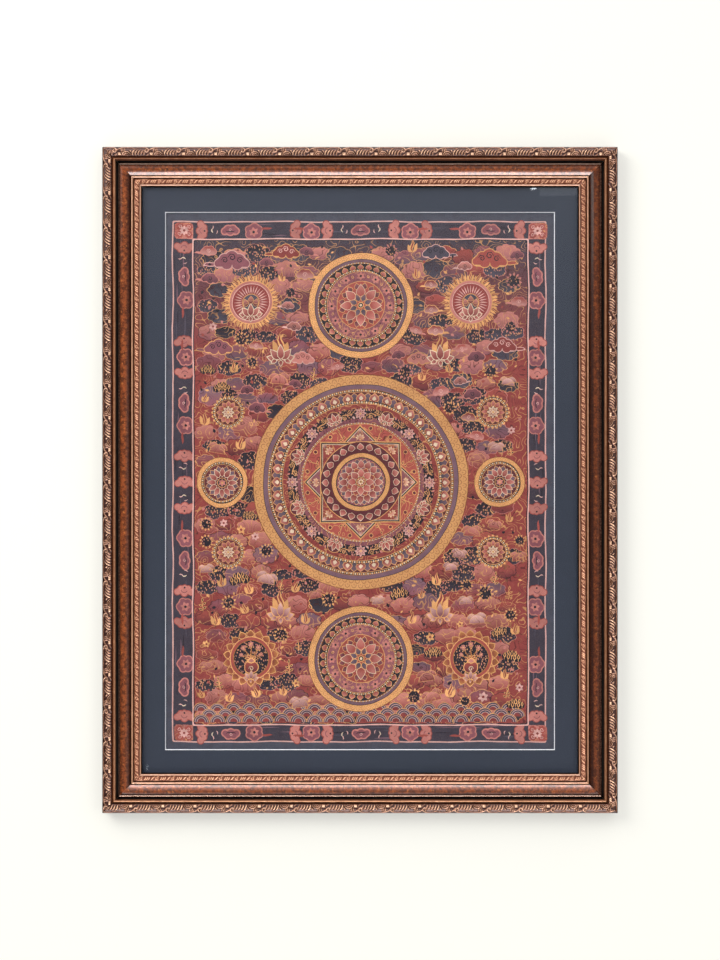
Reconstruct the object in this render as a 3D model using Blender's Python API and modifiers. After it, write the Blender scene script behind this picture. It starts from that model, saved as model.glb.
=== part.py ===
"""Thangka painting on cloth, in a bevelled mat behind glass, in a mitred wooden picture frame.

The picture hangs on a wall and faces -Y. +Z is up, and +X is to the right of someone who looks
at it. The origin is the middle of the top rail's back face, where the frame hangs on the wall.

Sizes are in metres. A depth is a height in front of the wall, so depth d lies at y = -d.
"""

from collections import namedtuple
from math import cos, pi, radians, sqrt

import bmesh
import bpy
from mathutils import Matrix, Vector

OBJECT_NAME = "framed_thangka"

# The frame, measured over its outer edges
OUTER_WIDTH = 0.820
OUTER_HEIGHT = 1.060
MITRE_GAP = 0.0003

# The rabbet that holds the glass, the mat, the cloth and the board
RAIL_FACE = 0.062
RABBET_WIDTH = 0.008
RABBET_DEPTH = 0.0105
SHEET_CLEARANCE = 0.001

# The stack in the rabbet, with the depth of each sheet's front face
GLASS_FRONT = 0.0102
GLASS_THICKNESS = 0.0020
MAT_FRONT = 0.0079
MAT_THICKNESS = 0.0026
CLOTH_FRONT = 0.0050
CLOTH_THICKNESS = 0.0012
BOARD_FRONT = 0.0035
BOARD_THICKNESS = 0.0030

# The mat's window at its front edge. It sits a little low in the frame.
WINDOW_WIDTH = 0.6246
WINDOW_HEIGHT = 0.8636
WINDOW_DROP = 0.0016
CUTTER_OVERRUN = 0.0010

# The cloth runs on behind the mat, and its waves die out before they reach it
CLOTH_MARGIN = 0.0150
COCKLE_FADE = 0.0700
CLOTH_COLUMNS = 34
CLOTH_ROWS = 46

# Members of the moulding from its outer edge inwards. Start and end are measured from that edge,
# outer and inner are the depths of the member's two sides, and crown is its rise between them.
Member = namedtuple("Member", "name start end outer inner crown")
MOULDING = (
    Member("carved outer band", 0.0000, 0.0165, 0.0262, 0.0272, 0.0032),
    Member("bead", 0.0175, 0.0205, 0.0270, 0.0262, 0.0012),
    Member("hollow", 0.0215, 0.0262, 0.0175, 0.0165, -0.0010),
    Member("step fillet", 0.0266, 0.0288, 0.0190, 0.0192, 0.0004),
    Member("swelling", 0.0292, 0.0435, 0.0195, 0.0165, 0.0042),
    Member("quirk", 0.0440, 0.0452, 0.0132, 0.0130, 0.0000),
    Member("inner fillet", 0.0456, 0.0486, 0.0158, 0.0156, 0.0008),
    Member("carved inner band", 0.0500, 0.0582, 0.0142, 0.0136, 0.0010),
    Member("sight lip", 0.0588, 0.0620, 0.0150, 0.0145, 0.0008),
)
GROOVE_DROP = 0.0012
CROWN_STEPS = 8

# The cloth's low waves. Cycles are counted over its width and height, lead shifts a wave by a
# share of a cycle, and height is how far its crest stands off the board.
Wave = namedtuple("Wave", "name cycles_across cycles_up lead height")
COCKLE = (
    Wave("belly", 1.0, 0.0, 0.50, 0.00055),
    Wave("sag", 0.0, 1.0, 0.42, 0.00030),
    Wave("upright ripples", 2.6, 0.7, 0.30, 0.00024),
    Wave("level ripples", 0.6, 3.2, 0.15, 0.00020),
    Wave("slanting ripples", 1.7, 2.3, 0.60, 0.00016),
)

Finish = namedtuple("Finish", "name colour roughness metallic")
GILDED_WOOD = Finish("gilded_wood", (0.20, 0.080, 0.042), 0.38, 0.55)
CLEAR_GLASS = Finish("clear_glass", (0.80, 0.86, 0.88), 0.03, 0.0)
NAVY_MAT = Finish("navy_mat", (0.032, 0.042, 0.062), 0.90, 0.0)
PAINTED_CLOTH = Finish("painted_cloth", (0.110, 0.045, 0.035), 0.85, 0.0)
PLAIN_BOARD = Finish("plain_board", (0.36, 0.25, 0.15), 0.80, 0.0)

# Rails as quarter turns of the top one about the frame's middle
Rail = namedtuple("Rail", "name quarter_turns length reach")
RAILS = (
    Rail("rail_top", 0, OUTER_WIDTH, OUTER_HEIGHT / 2),
    Rail("rail_right", 1, OUTER_HEIGHT, OUTER_WIDTH / 2),
    Rail("rail_bottom", 2, OUTER_WIDTH, OUTER_HEIGHT / 2),
    Rail("rail_left", 3, OUTER_HEIGHT, OUTER_WIDTH / 2),
)

# The top rail's back face ends at the rabbet, and the origin is in its middle
RAIL_BACK = RAIL_FACE - RABBET_WIDTH
FRAME_MIDDLE_Z = RAIL_BACK / 2 - OUTER_HEIGHT / 2
WINDOW_MIDDLE_Z = FRAME_MIDDLE_Z - WINDOW_DROP
SHEET_WIDTH = OUTER_WIDTH - 2 * (RAIL_BACK + SHEET_CLEARANCE)
SHEET_HEIGHT = OUTER_HEIGHT - 2 * (RAIL_BACK + SHEET_CLEARANCE)
CLOTH_WIDTH = WINDOW_WIDTH + 2 * CLOTH_MARGIN
CLOTH_HEIGHT = WINDOW_HEIGHT + 2 * CLOTH_MARGIN


def clear_scene():
    """Removes every object that the file opened with."""
    for old in list(bpy.data.objects):
        bpy.data.objects.remove(old, do_unlink=True)


def new_collection(name):
    """Adds a collection to the scene."""
    collection = bpy.data.collections.new(name)
    bpy.context.scene.collection.children.link(collection)
    return collection


def new_material(name, finish):
    """A Principled material for one piece."""
    material = bpy.data.materials.new(name + "_" + finish.name)
    material.use_nodes = True
    shader = material.node_tree.nodes["Principled BSDF"]
    shader.inputs["Base Color"].default_value = (*finish.colour, 1.0)
    shader.inputs["Roughness"].default_value = finish.roughness
    shader.inputs["Metallic"].default_value = finish.metallic
    return material


def place(obj, finish, collection):
    """Gives a piece its own material and puts it in the object's collection."""
    obj.data.materials.clear()
    obj.data.materials.append(new_material(obj.name, finish))
    collection.objects.link(obj)


def object_from_bmesh(name, bm):
    """Turns a bmesh into an object that is in no collection yet."""
    mesh = bpy.data.meshes.new(name)
    bm.to_mesh(mesh)
    bm.free()
    return bpy.data.objects.new(name, mesh)


def member_points(member):
    """The curve of one member from its outer side to its inner side."""
    steps = CROWN_STEPS if member.crown else 1
    points = []
    for step in range(steps + 1):
        share = step / steps
        across = member.start + share * (member.end - member.start)
        depth = member.outer + share * (member.inner - member.outer)
        points.append((across, depth + 4 * member.crown * share * (1 - share)))
    return points


def moulding_outline():
    """The rail's section as (distance from the outer edge, depth), once round."""
    outline = [(0.0, 0.0)]
    last = None
    for member in MOULDING:
        if last:
            floor = min(last.inner, member.outer) - GROOVE_DROP
            outline.append((last.end, floor))
            outline.append((member.start, floor))
        outline.extend(member_points(member))
        last = member
    outline.append((RAIL_FACE, RABBET_DEPTH))
    outline.append((RAIL_BACK, RABBET_DEPTH))
    outline.append((RAIL_BACK, 0.0))
    return outline


def extruded_outline(name, outline, length):
    """A filled 2D curve, extruded along Z, as a closed mesh object."""
    curve = bpy.data.curves.new(name, "CURVE")
    curve.dimensions = "2D"
    curve.fill_mode = "BOTH"
    curve.extrude = length / 2
    spline = curve.splines.new("POLY")
    spline.points.add(len(outline) - 1)
    for point, (x, y) in zip(spline.points, outline):
        point.co = (x, y, 0.0, 1.0)
    spline.use_cyclic_u = True
    guide = bpy.data.objects.new(name + "_outline", curve)
    bpy.context.scene.collection.objects.link(guide)
    depsgraph = bpy.context.evaluated_depsgraph_get()
    mesh = bpy.data.meshes.new_from_object(guide.evaluated_get(depsgraph))
    bpy.data.objects.remove(guide, do_unlink=True)
    bm = bmesh.new()
    bm.from_mesh(mesh)
    bpy.data.meshes.remove(mesh)
    bmesh.ops.remove_doubles(bm, verts=bm.verts, dist=0.00001)
    bmesh.ops.recalc_face_normals(bm, faces=bm.faces)
    return bm


def cut_mitre(bm, length, end):
    """Cuts one end of a rail at 45 degrees and closes the cut. end is 1 or -1."""
    shoulder = Vector((0.0, 0.0, end * (length / 2 - MITRE_GAP / sqrt(2))))
    outward = Vector((1.0, 0.0, end)).normalized()
    everything = bm.verts[:] + bm.edges[:] + bm.faces[:]
    cut = bmesh.ops.bisect_plane(
        bm, geom=everything, dist=0.000001, plane_co=shoulder, plane_no=outward, clear_outer=True
    )
    rim = [piece for piece in cut["geom_cut"] if isinstance(piece, bmesh.types.BMEdge)]
    bmesh.ops.edgenet_fill(bm, edges=rim)


def make_rail(rail, collection):
    """One mitred length of the moulding, turned into its place round the frame."""
    bm = extruded_outline(rail.name, moulding_outline(), rail.length)
    for end in (1, -1):
        cut_mitre(bm, rail.length, end)
    bmesh.ops.recalc_face_normals(bm, faces=bm.faces)
    bmesh.ops.triangulate(bm, faces=[face for face in bm.faces if len(face.verts) > 4])
    obj = object_from_bmesh(rail.name, bm)
    # On the top rail, the section's width runs down, its depth forwards and its length along X
    lie_along_top = Matrix(((0, 0, -1), (0, -1, 0), (-1, 0, 0))).to_4x4()
    turn = Matrix.Rotation(radians(90 * rail.quarter_turns), 4, "Y")
    move = Matrix.Translation((0.0, 0.0, FRAME_MIDDLE_Z))
    lift = Matrix.Translation((0.0, 0.0, rail.reach))
    obj.matrix_world = move @ turn @ lift @ lie_along_top
    place(obj, GILDED_WOOD, collection)
    obj.data.shade_smooth()
    obj.data.set_sharp_from_angle(angle=radians(35))
    return obj


def slab(name, width, height, front, thickness, middle_z):
    """A flat sheet with square edges, as an object."""
    bm = bmesh.new()
    bmesh.ops.create_cube(bm, size=1.0)
    bmesh.ops.scale(bm, verts=bm.verts, vec=(width, thickness, height))
    obj = object_from_bmesh(name, bm)
    obj.location = (0.0, -(front - thickness / 2), middle_z)
    return obj


def make_glass(collection):
    """The glazing, which lies against the back of the sight lip."""
    obj = slab("glass", SHEET_WIDTH, SHEET_HEIGHT, GLASS_FRONT, GLASS_THICKNESS, FRAME_MIDDLE_Z)
    place(obj, CLEAR_GLASS, collection)


def window_cutter(collection):
    """The mat's window with its 45 degree sides, carried on past both faces of the mat."""
    depth = MAT_THICKNESS + 2 * CUTTER_OVERRUN
    cutter = slab("window_cutter", 1.0, 1.0, MAT_FRONT + CUTTER_OVERRUN, depth, WINDOW_MIDDLE_Z)
    for vertex in cutter.data.vertices:
        # Local -Y is the front, where the window is widest
        flare = CUTTER_OVERRUN if vertex.co.y < 0 else -(MAT_THICKNESS + CUTTER_OVERRUN)
        vertex.co.x *= WINDOW_WIDTH + 2 * flare
        vertex.co.z *= WINDOW_HEIGHT + 2 * flare
    cutter.hide_render = True
    cutter.display_type = "WIRE"
    collection.objects.link(cutter)
    return cutter


def make_mat(collection, cutters):
    """The mat board, with the window cut through it at a bevel."""
    obj = slab("mat_board", SHEET_WIDTH, SHEET_HEIGHT, MAT_FRONT, MAT_THICKNESS, FRAME_MIDDLE_Z)
    place(obj, NAVY_MAT, collection)
    cut = obj.modifiers.new("window", "BOOLEAN")
    cut.operation = "DIFFERENCE"
    cut.solver = "EXACT"
    cut.object = window_cutter(cutters)


def smooth_share(value):
    """Eases a share from 0 to 1 with level ends."""
    share = min(max(value, 0.0), 1.0)
    return share * share * (3 - 2 * share)


def cockle(x, z):
    """How far the cloth stands forward at (x, z), measured from its own middle."""
    inside_x = WINDOW_WIDTH / 2 - MAT_THICKNESS - abs(x)
    inside_z = WINDOW_HEIGHT / 2 - MAT_THICKNESS - abs(z)
    freedom = smooth_share(inside_x / COCKLE_FADE) * smooth_share(inside_z / COCKLE_FADE)
    rise = 0.0
    for wave in COCKLE:
        cycles = wave.cycles_across * x / CLOTH_WIDTH + wave.cycles_up * z / CLOTH_HEIGHT
        rise += wave.height * (0.5 - 0.5 * cos(2 * pi * (cycles + wave.lead)))
    return freedom * rise


def make_cloth(collection):
    """The painted cloth: a thin sheet, flat where the mat holds it and cockled in the window."""
    bm = bmesh.new()
    bmesh.ops.create_grid(bm, x_segments=CLOTH_COLUMNS, y_segments=CLOTH_ROWS, size=0.5)
    for vertex in bm.verts:
        x = vertex.co.x * CLOTH_WIDTH
        z = vertex.co.y * CLOTH_HEIGHT
        vertex.co = (x, -cockle(x, z), z)
    obj = object_from_bmesh("thangka_cloth", bm)
    obj.location = (0.0, -CLOTH_FRONT, WINDOW_MIDDLE_Z)
    thickness = obj.modifiers.new("thickness", "SOLIDIFY")
    thickness.thickness = CLOTH_THICKNESS
    thickness.offset = -1.0
    place(obj, PAINTED_CLOTH, collection)
    obj.data.shade_smooth()


def make_board(collection):
    """The plain board behind the cloth."""
    obj = slab(
        "backing_board", SHEET_WIDTH, SHEET_HEIGHT, BOARD_FRONT, BOARD_THICKNESS, FRAME_MIDDLE_Z
    )
    place(obj, PLAIN_BOARD, collection)


def main():
    """Builds the picture piece by piece."""
    clear_scene()
    collection = new_collection(OBJECT_NAME)
    cutters = new_collection("cutters")
    for rail in RAILS:
        make_rail(rail, collection)
    make_glass(collection)
    make_mat(collection, cutters)
    make_cloth(collection)
    make_board(collection)


main()
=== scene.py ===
"""Looks of a thangka painting on cloth, behind glass in a carved and gilded picture frame.

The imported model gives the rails, the glass, the mat, the cloth and the board. This script carves
and gilds the rails, glazes the front, paints the cloth, finishes the back and lights the wall.
The picture faces -Y, +Z is up, and a depth is a height in front of the wall at y = 0.
"""

import logging
import random
from dataclasses import dataclass, field, replace
from enum import Enum
from math import atan2, ceil, cos, hypot, pi, radians, sin, sqrt

import bpy
import numpy as np
from mathutils import Matrix, Vector
from mathutils.geometry import delaunay_2d_cdt


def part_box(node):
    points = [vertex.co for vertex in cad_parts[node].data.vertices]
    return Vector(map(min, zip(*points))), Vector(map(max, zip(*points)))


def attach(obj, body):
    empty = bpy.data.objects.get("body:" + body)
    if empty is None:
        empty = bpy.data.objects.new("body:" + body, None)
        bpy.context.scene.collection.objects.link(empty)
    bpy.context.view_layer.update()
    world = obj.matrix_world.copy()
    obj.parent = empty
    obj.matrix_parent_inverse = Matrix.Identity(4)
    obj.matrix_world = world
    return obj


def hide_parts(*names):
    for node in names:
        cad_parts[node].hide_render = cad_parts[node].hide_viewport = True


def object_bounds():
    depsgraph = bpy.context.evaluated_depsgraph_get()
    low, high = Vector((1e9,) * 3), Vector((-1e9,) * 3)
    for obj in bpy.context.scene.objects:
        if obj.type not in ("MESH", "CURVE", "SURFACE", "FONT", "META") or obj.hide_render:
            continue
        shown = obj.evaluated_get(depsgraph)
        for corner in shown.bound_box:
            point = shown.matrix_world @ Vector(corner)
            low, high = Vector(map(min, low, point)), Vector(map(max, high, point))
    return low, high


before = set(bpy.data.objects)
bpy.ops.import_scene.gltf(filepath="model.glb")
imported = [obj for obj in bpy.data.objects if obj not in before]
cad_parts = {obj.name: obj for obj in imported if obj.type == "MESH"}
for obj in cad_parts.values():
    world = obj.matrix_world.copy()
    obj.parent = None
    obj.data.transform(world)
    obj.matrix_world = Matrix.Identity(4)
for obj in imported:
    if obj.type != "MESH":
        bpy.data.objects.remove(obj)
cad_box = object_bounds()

log = logging.getLogger("framed_thangka")

MM = 0.001
Point = tuple[float, float]
Colour = tuple[float, float, float]


def linear(colour: Colour) -> Colour:
    """Turns a colour seen on a screen, 0 to 255, into linear light.

    Args:
        colour: red, green and blue from 0 to 255.

    Returns:
        The same colour as three linear shares.
    """
    shares = [channel / 255 for channel in colour]
    return tuple(s / 12.92 if s <= 0.04045 else ((s + 0.055) / 1.055) ** 2.4 for s in shares)


def smooth_share(value: float) -> float:
    """Eases a share from 0 to 1 with level ends."""
    share = min(max(value, 0.0), 1.0)
    return share * share * (3 - 2 * share)


class Recipe:
    """Builds the nodes of one material."""

    def __init__(self, name: str) -> None:
        """Starts an empty material of that name."""
        self.material = bpy.data.materials.new(name)
        self.material.use_nodes = True
        self.tree = self.material.node_tree
        self.tree.nodes.clear()
        self.place = self.node("ShaderNodeTexCoord").outputs["Object"]

    def node(self, kind: str, **settings: object) -> bpy.types.Node:
        """Adds a node and sets its properties.

        Args:
            kind: Blender's name of the node type.
            settings: property names and values.

        Returns:
            The new node.
        """
        made = self.tree.nodes.new(kind)
        for name, value in settings.items():
            setattr(made, name, value)
        return made

    def feed(self, socket: bpy.types.NodeSocket, value: object) -> None:
        """Links a socket to an output, or sets it to a plain value."""
        if isinstance(value, bpy.types.NodeSocket):
            self.tree.links.new(value, socket)
        elif isinstance(value, tuple) and len(value) == 3 and socket.type == "RGBA":
            socket.default_value = (*value, 1.0)
        else:
            socket.default_value = value

    def math(self, operation: str, first: object, second: object = 0.0) -> bpy.types.NodeSocket:
        """Works out one value from two.

        Args:
            operation: Blender's name of the operation.
            first: an output or a number.
            second: an output or a number.

        Returns:
            The result's output.
        """
        made = self.node("ShaderNodeMath", operation=operation)
        self.feed(made.inputs[0], first)
        self.feed(made.inputs[1], second)
        return made.outputs[0]

    def parts(self, vector: bpy.types.NodeSocket) -> list[bpy.types.NodeSocket]:
        """The three numbers of a vector."""
        made = self.node("ShaderNodeSeparateXYZ")
        self.feed(made.inputs[0], vector)
        return list(made.outputs)

    def length(self, first: object, second: object) -> bpy.types.NodeSocket:
        """The length of a flat arrow with these two sides."""
        squares = [self.math("MULTIPLY", side, side) for side in (first, second)]
        return self.math("SQRT", self.math("ADD", *squares))

    def stretched(self, scale: tuple[float, float, float]) -> bpy.types.NodeSocket:
        """The place on the object, stretched along each axis."""
        made = self.node("ShaderNodeMapping")
        self.feed(made.inputs["Vector"], self.place)
        made.inputs["Scale"].default_value = scale
        return made.outputs[0]

    def noise(self, size: float, detail: float = 3.0, rough: float = 0.55,
              place: bpy.types.NodeSocket | None = None) -> bpy.types.NodeSocket:
        """Cloudy noise from 0 to 1.

        Args:
            size: the width of one patch in metres.
            detail: how many finer layers lie on top.
            rough: how strong the finer layers are.
            place: the coordinates, or the object's own.

        Returns:
            The noise value's output.
        """
        made = self.node("ShaderNodeTexNoise")
        self.feed(made.inputs["Vector"], place or self.place)
        made.inputs["Scale"].default_value = 1 / size
        made.inputs["Detail"].default_value = detail
        made.inputs["Roughness"].default_value = rough
        return made.outputs["Fac"]

    def cells(self, size: float) -> bpy.types.NodeSocket:
        """The distance to the nearest of many scattered specks, in units of their spacing."""
        made = self.node("ShaderNodeTexVoronoi")
        self.feed(made.inputs["Vector"], self.place)
        made.inputs["Scale"].default_value = 1 / size
        return made.outputs["Distance"]

    def spread(self, value: object, low: float, high: float, start: float = 0.0,
               end: float = 1.0) -> bpy.types.NodeSocket:
        """Stretches the stretch from low to high onto start to end, and clamps it.

        Args:
            value: the output to stretch.
            low: the value that becomes start.
            high: the value that becomes end.
            start: the result at low.
            end: the result at high.

        Returns:
            The stretched value's output.
        """
        made = self.node("ShaderNodeMapRange", interpolation_type="SMOOTHSTEP")
        self.feed(made.inputs["Value"], value)
        for name, number in zip(("From Min", "From Max", "To Min", "To Max"),
                                (low, high, start, end)):
            made.inputs[name].default_value = number
        return made.outputs["Result"]

    def blend(self, share: object, first: object, second: object,
              kind: str = "MIX") -> bpy.types.NodeSocket:
        """Mixes two colours.

        Args:
            share: how much of the second colour shows.
            first: a colour or an output.
            second: a colour or an output.
            kind: Blender's name of the blend type.

        Returns:
            The mixed colour's output.
        """
        made = self.node("ShaderNodeMix", data_type="RGBA", blend_type=kind)
        self.feed(made.inputs[0], share)
        self.feed(made.inputs[6], first)
        self.feed(made.inputs[7], second)
        return made.outputs[2]

    def attribute(self, name: str) -> bpy.types.Node:
        """The node that reads a value painted on the mesh."""
        return self.node("ShaderNodeAttribute", attribute_name=name)

    def bump(self, height: object, distance: float, strength: float = 1.0,
             under: bpy.types.NodeSocket | None = None) -> bpy.types.NodeSocket:
        """Raises the surface's shading by a height.

        Args:
            height: the output that holds the height.
            distance: how far a height of 1 stands up, in metres.
            strength: the share of the effect that is kept.
            under: a normal that this one is added to.

        Returns:
            The normal's output.
        """
        made = self.node("ShaderNodeBump")
        self.feed(made.inputs["Height"], height)
        made.inputs["Distance"].default_value = distance
        made.inputs["Strength"].default_value = strength
        if under is not None:
            self.feed(made.inputs["Normal"], under)
        return made.outputs["Normal"]

    def surface(self, **inputs: object) -> bpy.types.Material:
        """Ends the recipe with one Principled shader.

        Args:
            inputs: the shader's sockets, with _ for each space in their names.

        Returns:
            The finished material.
        """
        shader = self.node("ShaderNodeBsdfPrincipled")
        for name, value in inputs.items():
            self.feed(shader.inputs[name.replace("_", " ")], value)
        output = self.node("ShaderNodeOutputMaterial")
        self.feed(output.inputs["Surface"], shader.outputs[0])
        return self.material


@dataclass(frozen=True)
class GiltFinish:
    """Leaf over wood, with painted shade in carved hollows and painted highlights on carved crests.
    """

    name: str
    crest: Colour
    body: Colour
    hollow: Colour
    roughness: float = 0.36
    metallic: float = 0.75
    mottle: float = 0.5
    patch: float = 0.006
    carved: bool = False
    varnish: float = 0.6
    sheen: float = 0.5

    def material(self) -> bpy.types.Material:
        """Makes the leaf's nodes.

        Returns:
            The material.
        """
        recipe = Recipe(self.name)
        clouds = recipe.noise(self.patch, 4.0, 0.62)
        worn = recipe.spread(clouds, 0.38, 0.62)
        specks = recipe.noise(self.patch * 0.28, 3.0, 0.7)
        spots = recipe.spread(specks, 0.50, 0.68)
        colour = recipe.blend(recipe.math("MULTIPLY", worn, self.mottle), linear(self.body),
                              linear(self.hollow))
        colour = recipe.blend(recipe.math("MULTIPLY", spots, self.mottle * 0.8), colour,
                              linear(self.hollow))
        if self.carved:
            # Carvings: the relief's height paints the colour, a painted highlight on the crests and
            # painted shade in the hollows.
            crest = recipe.attribute("crest").outputs["Fac"]
            high = recipe.spread(crest, 0.52, 0.95)
            low = recipe.spread(crest, 0.42, 0.05)
            broken = recipe.spread(recipe.noise(0.0015, 2.0), 0.30, 0.65, 0.55, 1.0)
            colour = recipe.blend(recipe.math("MULTIPLY", high, broken), colour,
                                  linear(self.crest))
            colour = recipe.blend(low, colour, linear(self.hollow))
        else:
            rubbed = recipe.spread(recipe.noise(self.patch * 0.6, 3.0), 0.56, 0.74)
            colour = recipe.blend(recipe.math("MULTIPLY", rubbed, self.mottle), colour,
                                  linear(self.crest))
            # Plain members darken towards the hollow colour by a value from the mesh: partly patina,
            # partly painted shade.
            patina = recipe.attribute("patina").outputs["Fac"]
            uneven = recipe.spread(specks, 0.2, 0.6, 0.75, 1.0)
            colour = recipe.blend(recipe.math("MULTIPLY", patina, uneven), colour,
                                  linear(self.hollow))
        dull = recipe.attribute("dull").outputs["Fac"]
        gloss = recipe.spread(clouds, 0.3, 0.7, self.roughness - 0.06, self.roughness + 0.12)
        gloss = recipe.math("ADD", gloss, recipe.math("MULTIPLY", dull, 0.35))
        bright = recipe.math("SUBTRACT", 1.0, dull)
        coat = recipe.math("MULTIPLY", bright, self.varnish)
        grain = recipe.noise(0.0009, 2.0, 0.6)
        normal = recipe.bump(grain, 0.00012, 0.6)
        normal = recipe.bump(clouds, 0.0002, 0.6, normal)
        metal = recipe.math("MULTIPLY", bright, self.metallic)
        sheen = recipe.math("MULTIPLY", bright, self.sheen)
        return recipe.surface(Base_Color=colour, Metallic=metal, Roughness=gloss,
                              Normal=normal, Coat_Weight=coat, Coat_Roughness=0.16,
                              Specular_IOR_Level=sheen)


@dataclass(frozen=True)
class RawWoodFinish:
    """Bare, sanded light wood with grain along the rail."""

    name: str
    pale: Colour
    dark: Colour
    upright: bool

    def material(self) -> bpy.types.Material:
        """Makes the grain's nodes.

        Returns:
            The material.
        """
        recipe = Recipe(self.name)
        scale = (1.0, 1.0, 0.06) if self.upright else (0.06, 1.0, 1.0)
        along = recipe.stretched(scale)
        rings = recipe.noise(0.009, 4.0, 0.6, along)
        pores = recipe.noise(0.0011, 3.0, 0.7, along)
        share = recipe.spread(rings, 0.35, 0.68)
        colour = recipe.blend(share, linear(self.pale), linear(self.dark))
        fine = recipe.spread(pores, 0.52, 0.75, 0.0, 0.55)
        colour = recipe.blend(fine, colour, linear(self.dark))
        stain = recipe.spread(recipe.noise(0.09, 3.0), 0.55, 0.8, 0.0, 0.35)
        colour = recipe.blend(stain, colour, linear((120, 92, 66)))
        normal = recipe.bump(pores, 0.0002, 0.7)
        return recipe.surface(Base_Color=colour, Roughness=0.72, Normal=normal)


@dataclass(frozen=True)
class MatPaperFinish:
    """Navy paper on the face of the mat board."""

    name: str = "navy_mat_paper"
    colour: Colour = (55, 61, 74)
    fleck: Colour = (78, 84, 99)

    def material(self) -> bpy.types.Material:
        """Makes the paper's nodes.

        Returns:
            The material.
        """
        recipe = Recipe(self.name)
        tooth = recipe.noise(0.0006, 3.0, 0.7)
        fibres = recipe.noise(0.002, 4.0, 0.75)
        haze = recipe.noise(0.12, 3.0, 0.5)
        colour = recipe.blend(recipe.spread(fibres, 0.5, 0.8, 0.0, 0.5), linear(self.colour),
                              linear(self.fleck))
        colour = recipe.blend(recipe.spread(haze, 0.35, 0.7, 0.0, 0.30), colour,
                              linear((60, 64, 79)))
        colour = recipe.blend(recipe.spread(tooth, 0.55, 0.75, 0.0, 0.2), colour,
                              linear((38, 41, 51)))
        normal = recipe.bump(tooth, 0.00012, 0.8)
        return recipe.surface(Base_Color=colour, Roughness=0.86, Normal=normal,
                              Specular_IOR_Level=0.15)


@dataclass(frozen=True)
class MatCoreFinish:
    """White core of the mat board, cut clean."""

    name: str = "white_mat_core"

    def material(self) -> bpy.types.Material:
        """Makes the core's nodes.

        Returns:
            The material.
        """
        recipe = Recipe(self.name)
        plies = recipe.noise(0.0008, 3.0, 0.6)
        colour = recipe.blend(recipe.spread(plies, 0.3, 0.7), linear((252, 252, 255)),
                              linear((240, 240, 246)))
        return recipe.surface(Base_Color=colour, Roughness=0.8,
                              Normal=recipe.bump(plies, 0.00006, 0.6))


@dataclass(frozen=True)
class BoardFinish:
    """Pressed board, brown and a little fibrous."""

    name: str
    pale: Colour
    dark: Colour

    def material(self) -> bpy.types.Material:
        """Makes the board's nodes.

        Returns:
            The material.
        """
        recipe = Recipe(self.name)
        chips = recipe.noise(0.0035, 5.0, 0.7)
        cloud = recipe.noise(0.07, 3.0, 0.55)
        screen = recipe.cells(0.0016)
        colour = recipe.blend(recipe.spread(chips, 0.38, 0.66), linear(self.pale),
                              linear(self.dark))
        colour = recipe.blend(recipe.spread(cloud, 0.4, 0.7, 0.0, 0.35), colour,
                              linear(self.dark))
        normal = recipe.bump(screen, 0.00025, 0.5)
        normal = recipe.bump(chips, 0.00015, 0.7, normal)
        return recipe.surface(Base_Color=colour, Roughness=0.78, Normal=normal)


@dataclass(frozen=True)
class GlassFinish:
    """Clear picture glass with a faint film of dust."""

    name: str = "picture_glass"
    tint: Colour = (253, 253, 253)
    roughness: float = 0.012

    def material(self) -> bpy.types.Material:
        """Makes a pane that lets lamps through and mirrors what stands before it.

        Returns:
            The material.
        """
        recipe = Recipe(self.name)
        clear = recipe.node("ShaderNodeBsdfTransparent")
        recipe.feed(clear.inputs["Color"], linear(self.tint))
        gloss = recipe.node("ShaderNodeBsdfGlossy")
        wipe = recipe.noise(0.05, 4.0, 0.65)
        recipe.feed(gloss.inputs["Roughness"],
                    recipe.spread(wipe, 0.35, 0.75, self.roughness, self.roughness * 2))
        ripple = recipe.noise(0.16, 1.0, 0.4)
        recipe.feed(gloss.inputs["Normal"], recipe.bump(ripple, 0.00035, 0.5))
        slant = recipe.node("ShaderNodeLayerWeight").outputs["Facing"]
        glance = recipe.math("POWER", slant, 5.0)
        mirror = recipe.math("ADD", recipe.math("MULTIPLY", glance, 0.90), 0.032)
        mixed = recipe.node("ShaderNodeMixShader")
        recipe.feed(mixed.inputs[0], mirror)
        recipe.feed(mixed.inputs[1], clear.outputs[0])
        recipe.feed(mixed.inputs[2], gloss.outputs[0])
        output = recipe.node("ShaderNodeOutputMaterial")
        recipe.feed(output.inputs["Surface"], mixed.outputs[0])
        return recipe.material


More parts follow.
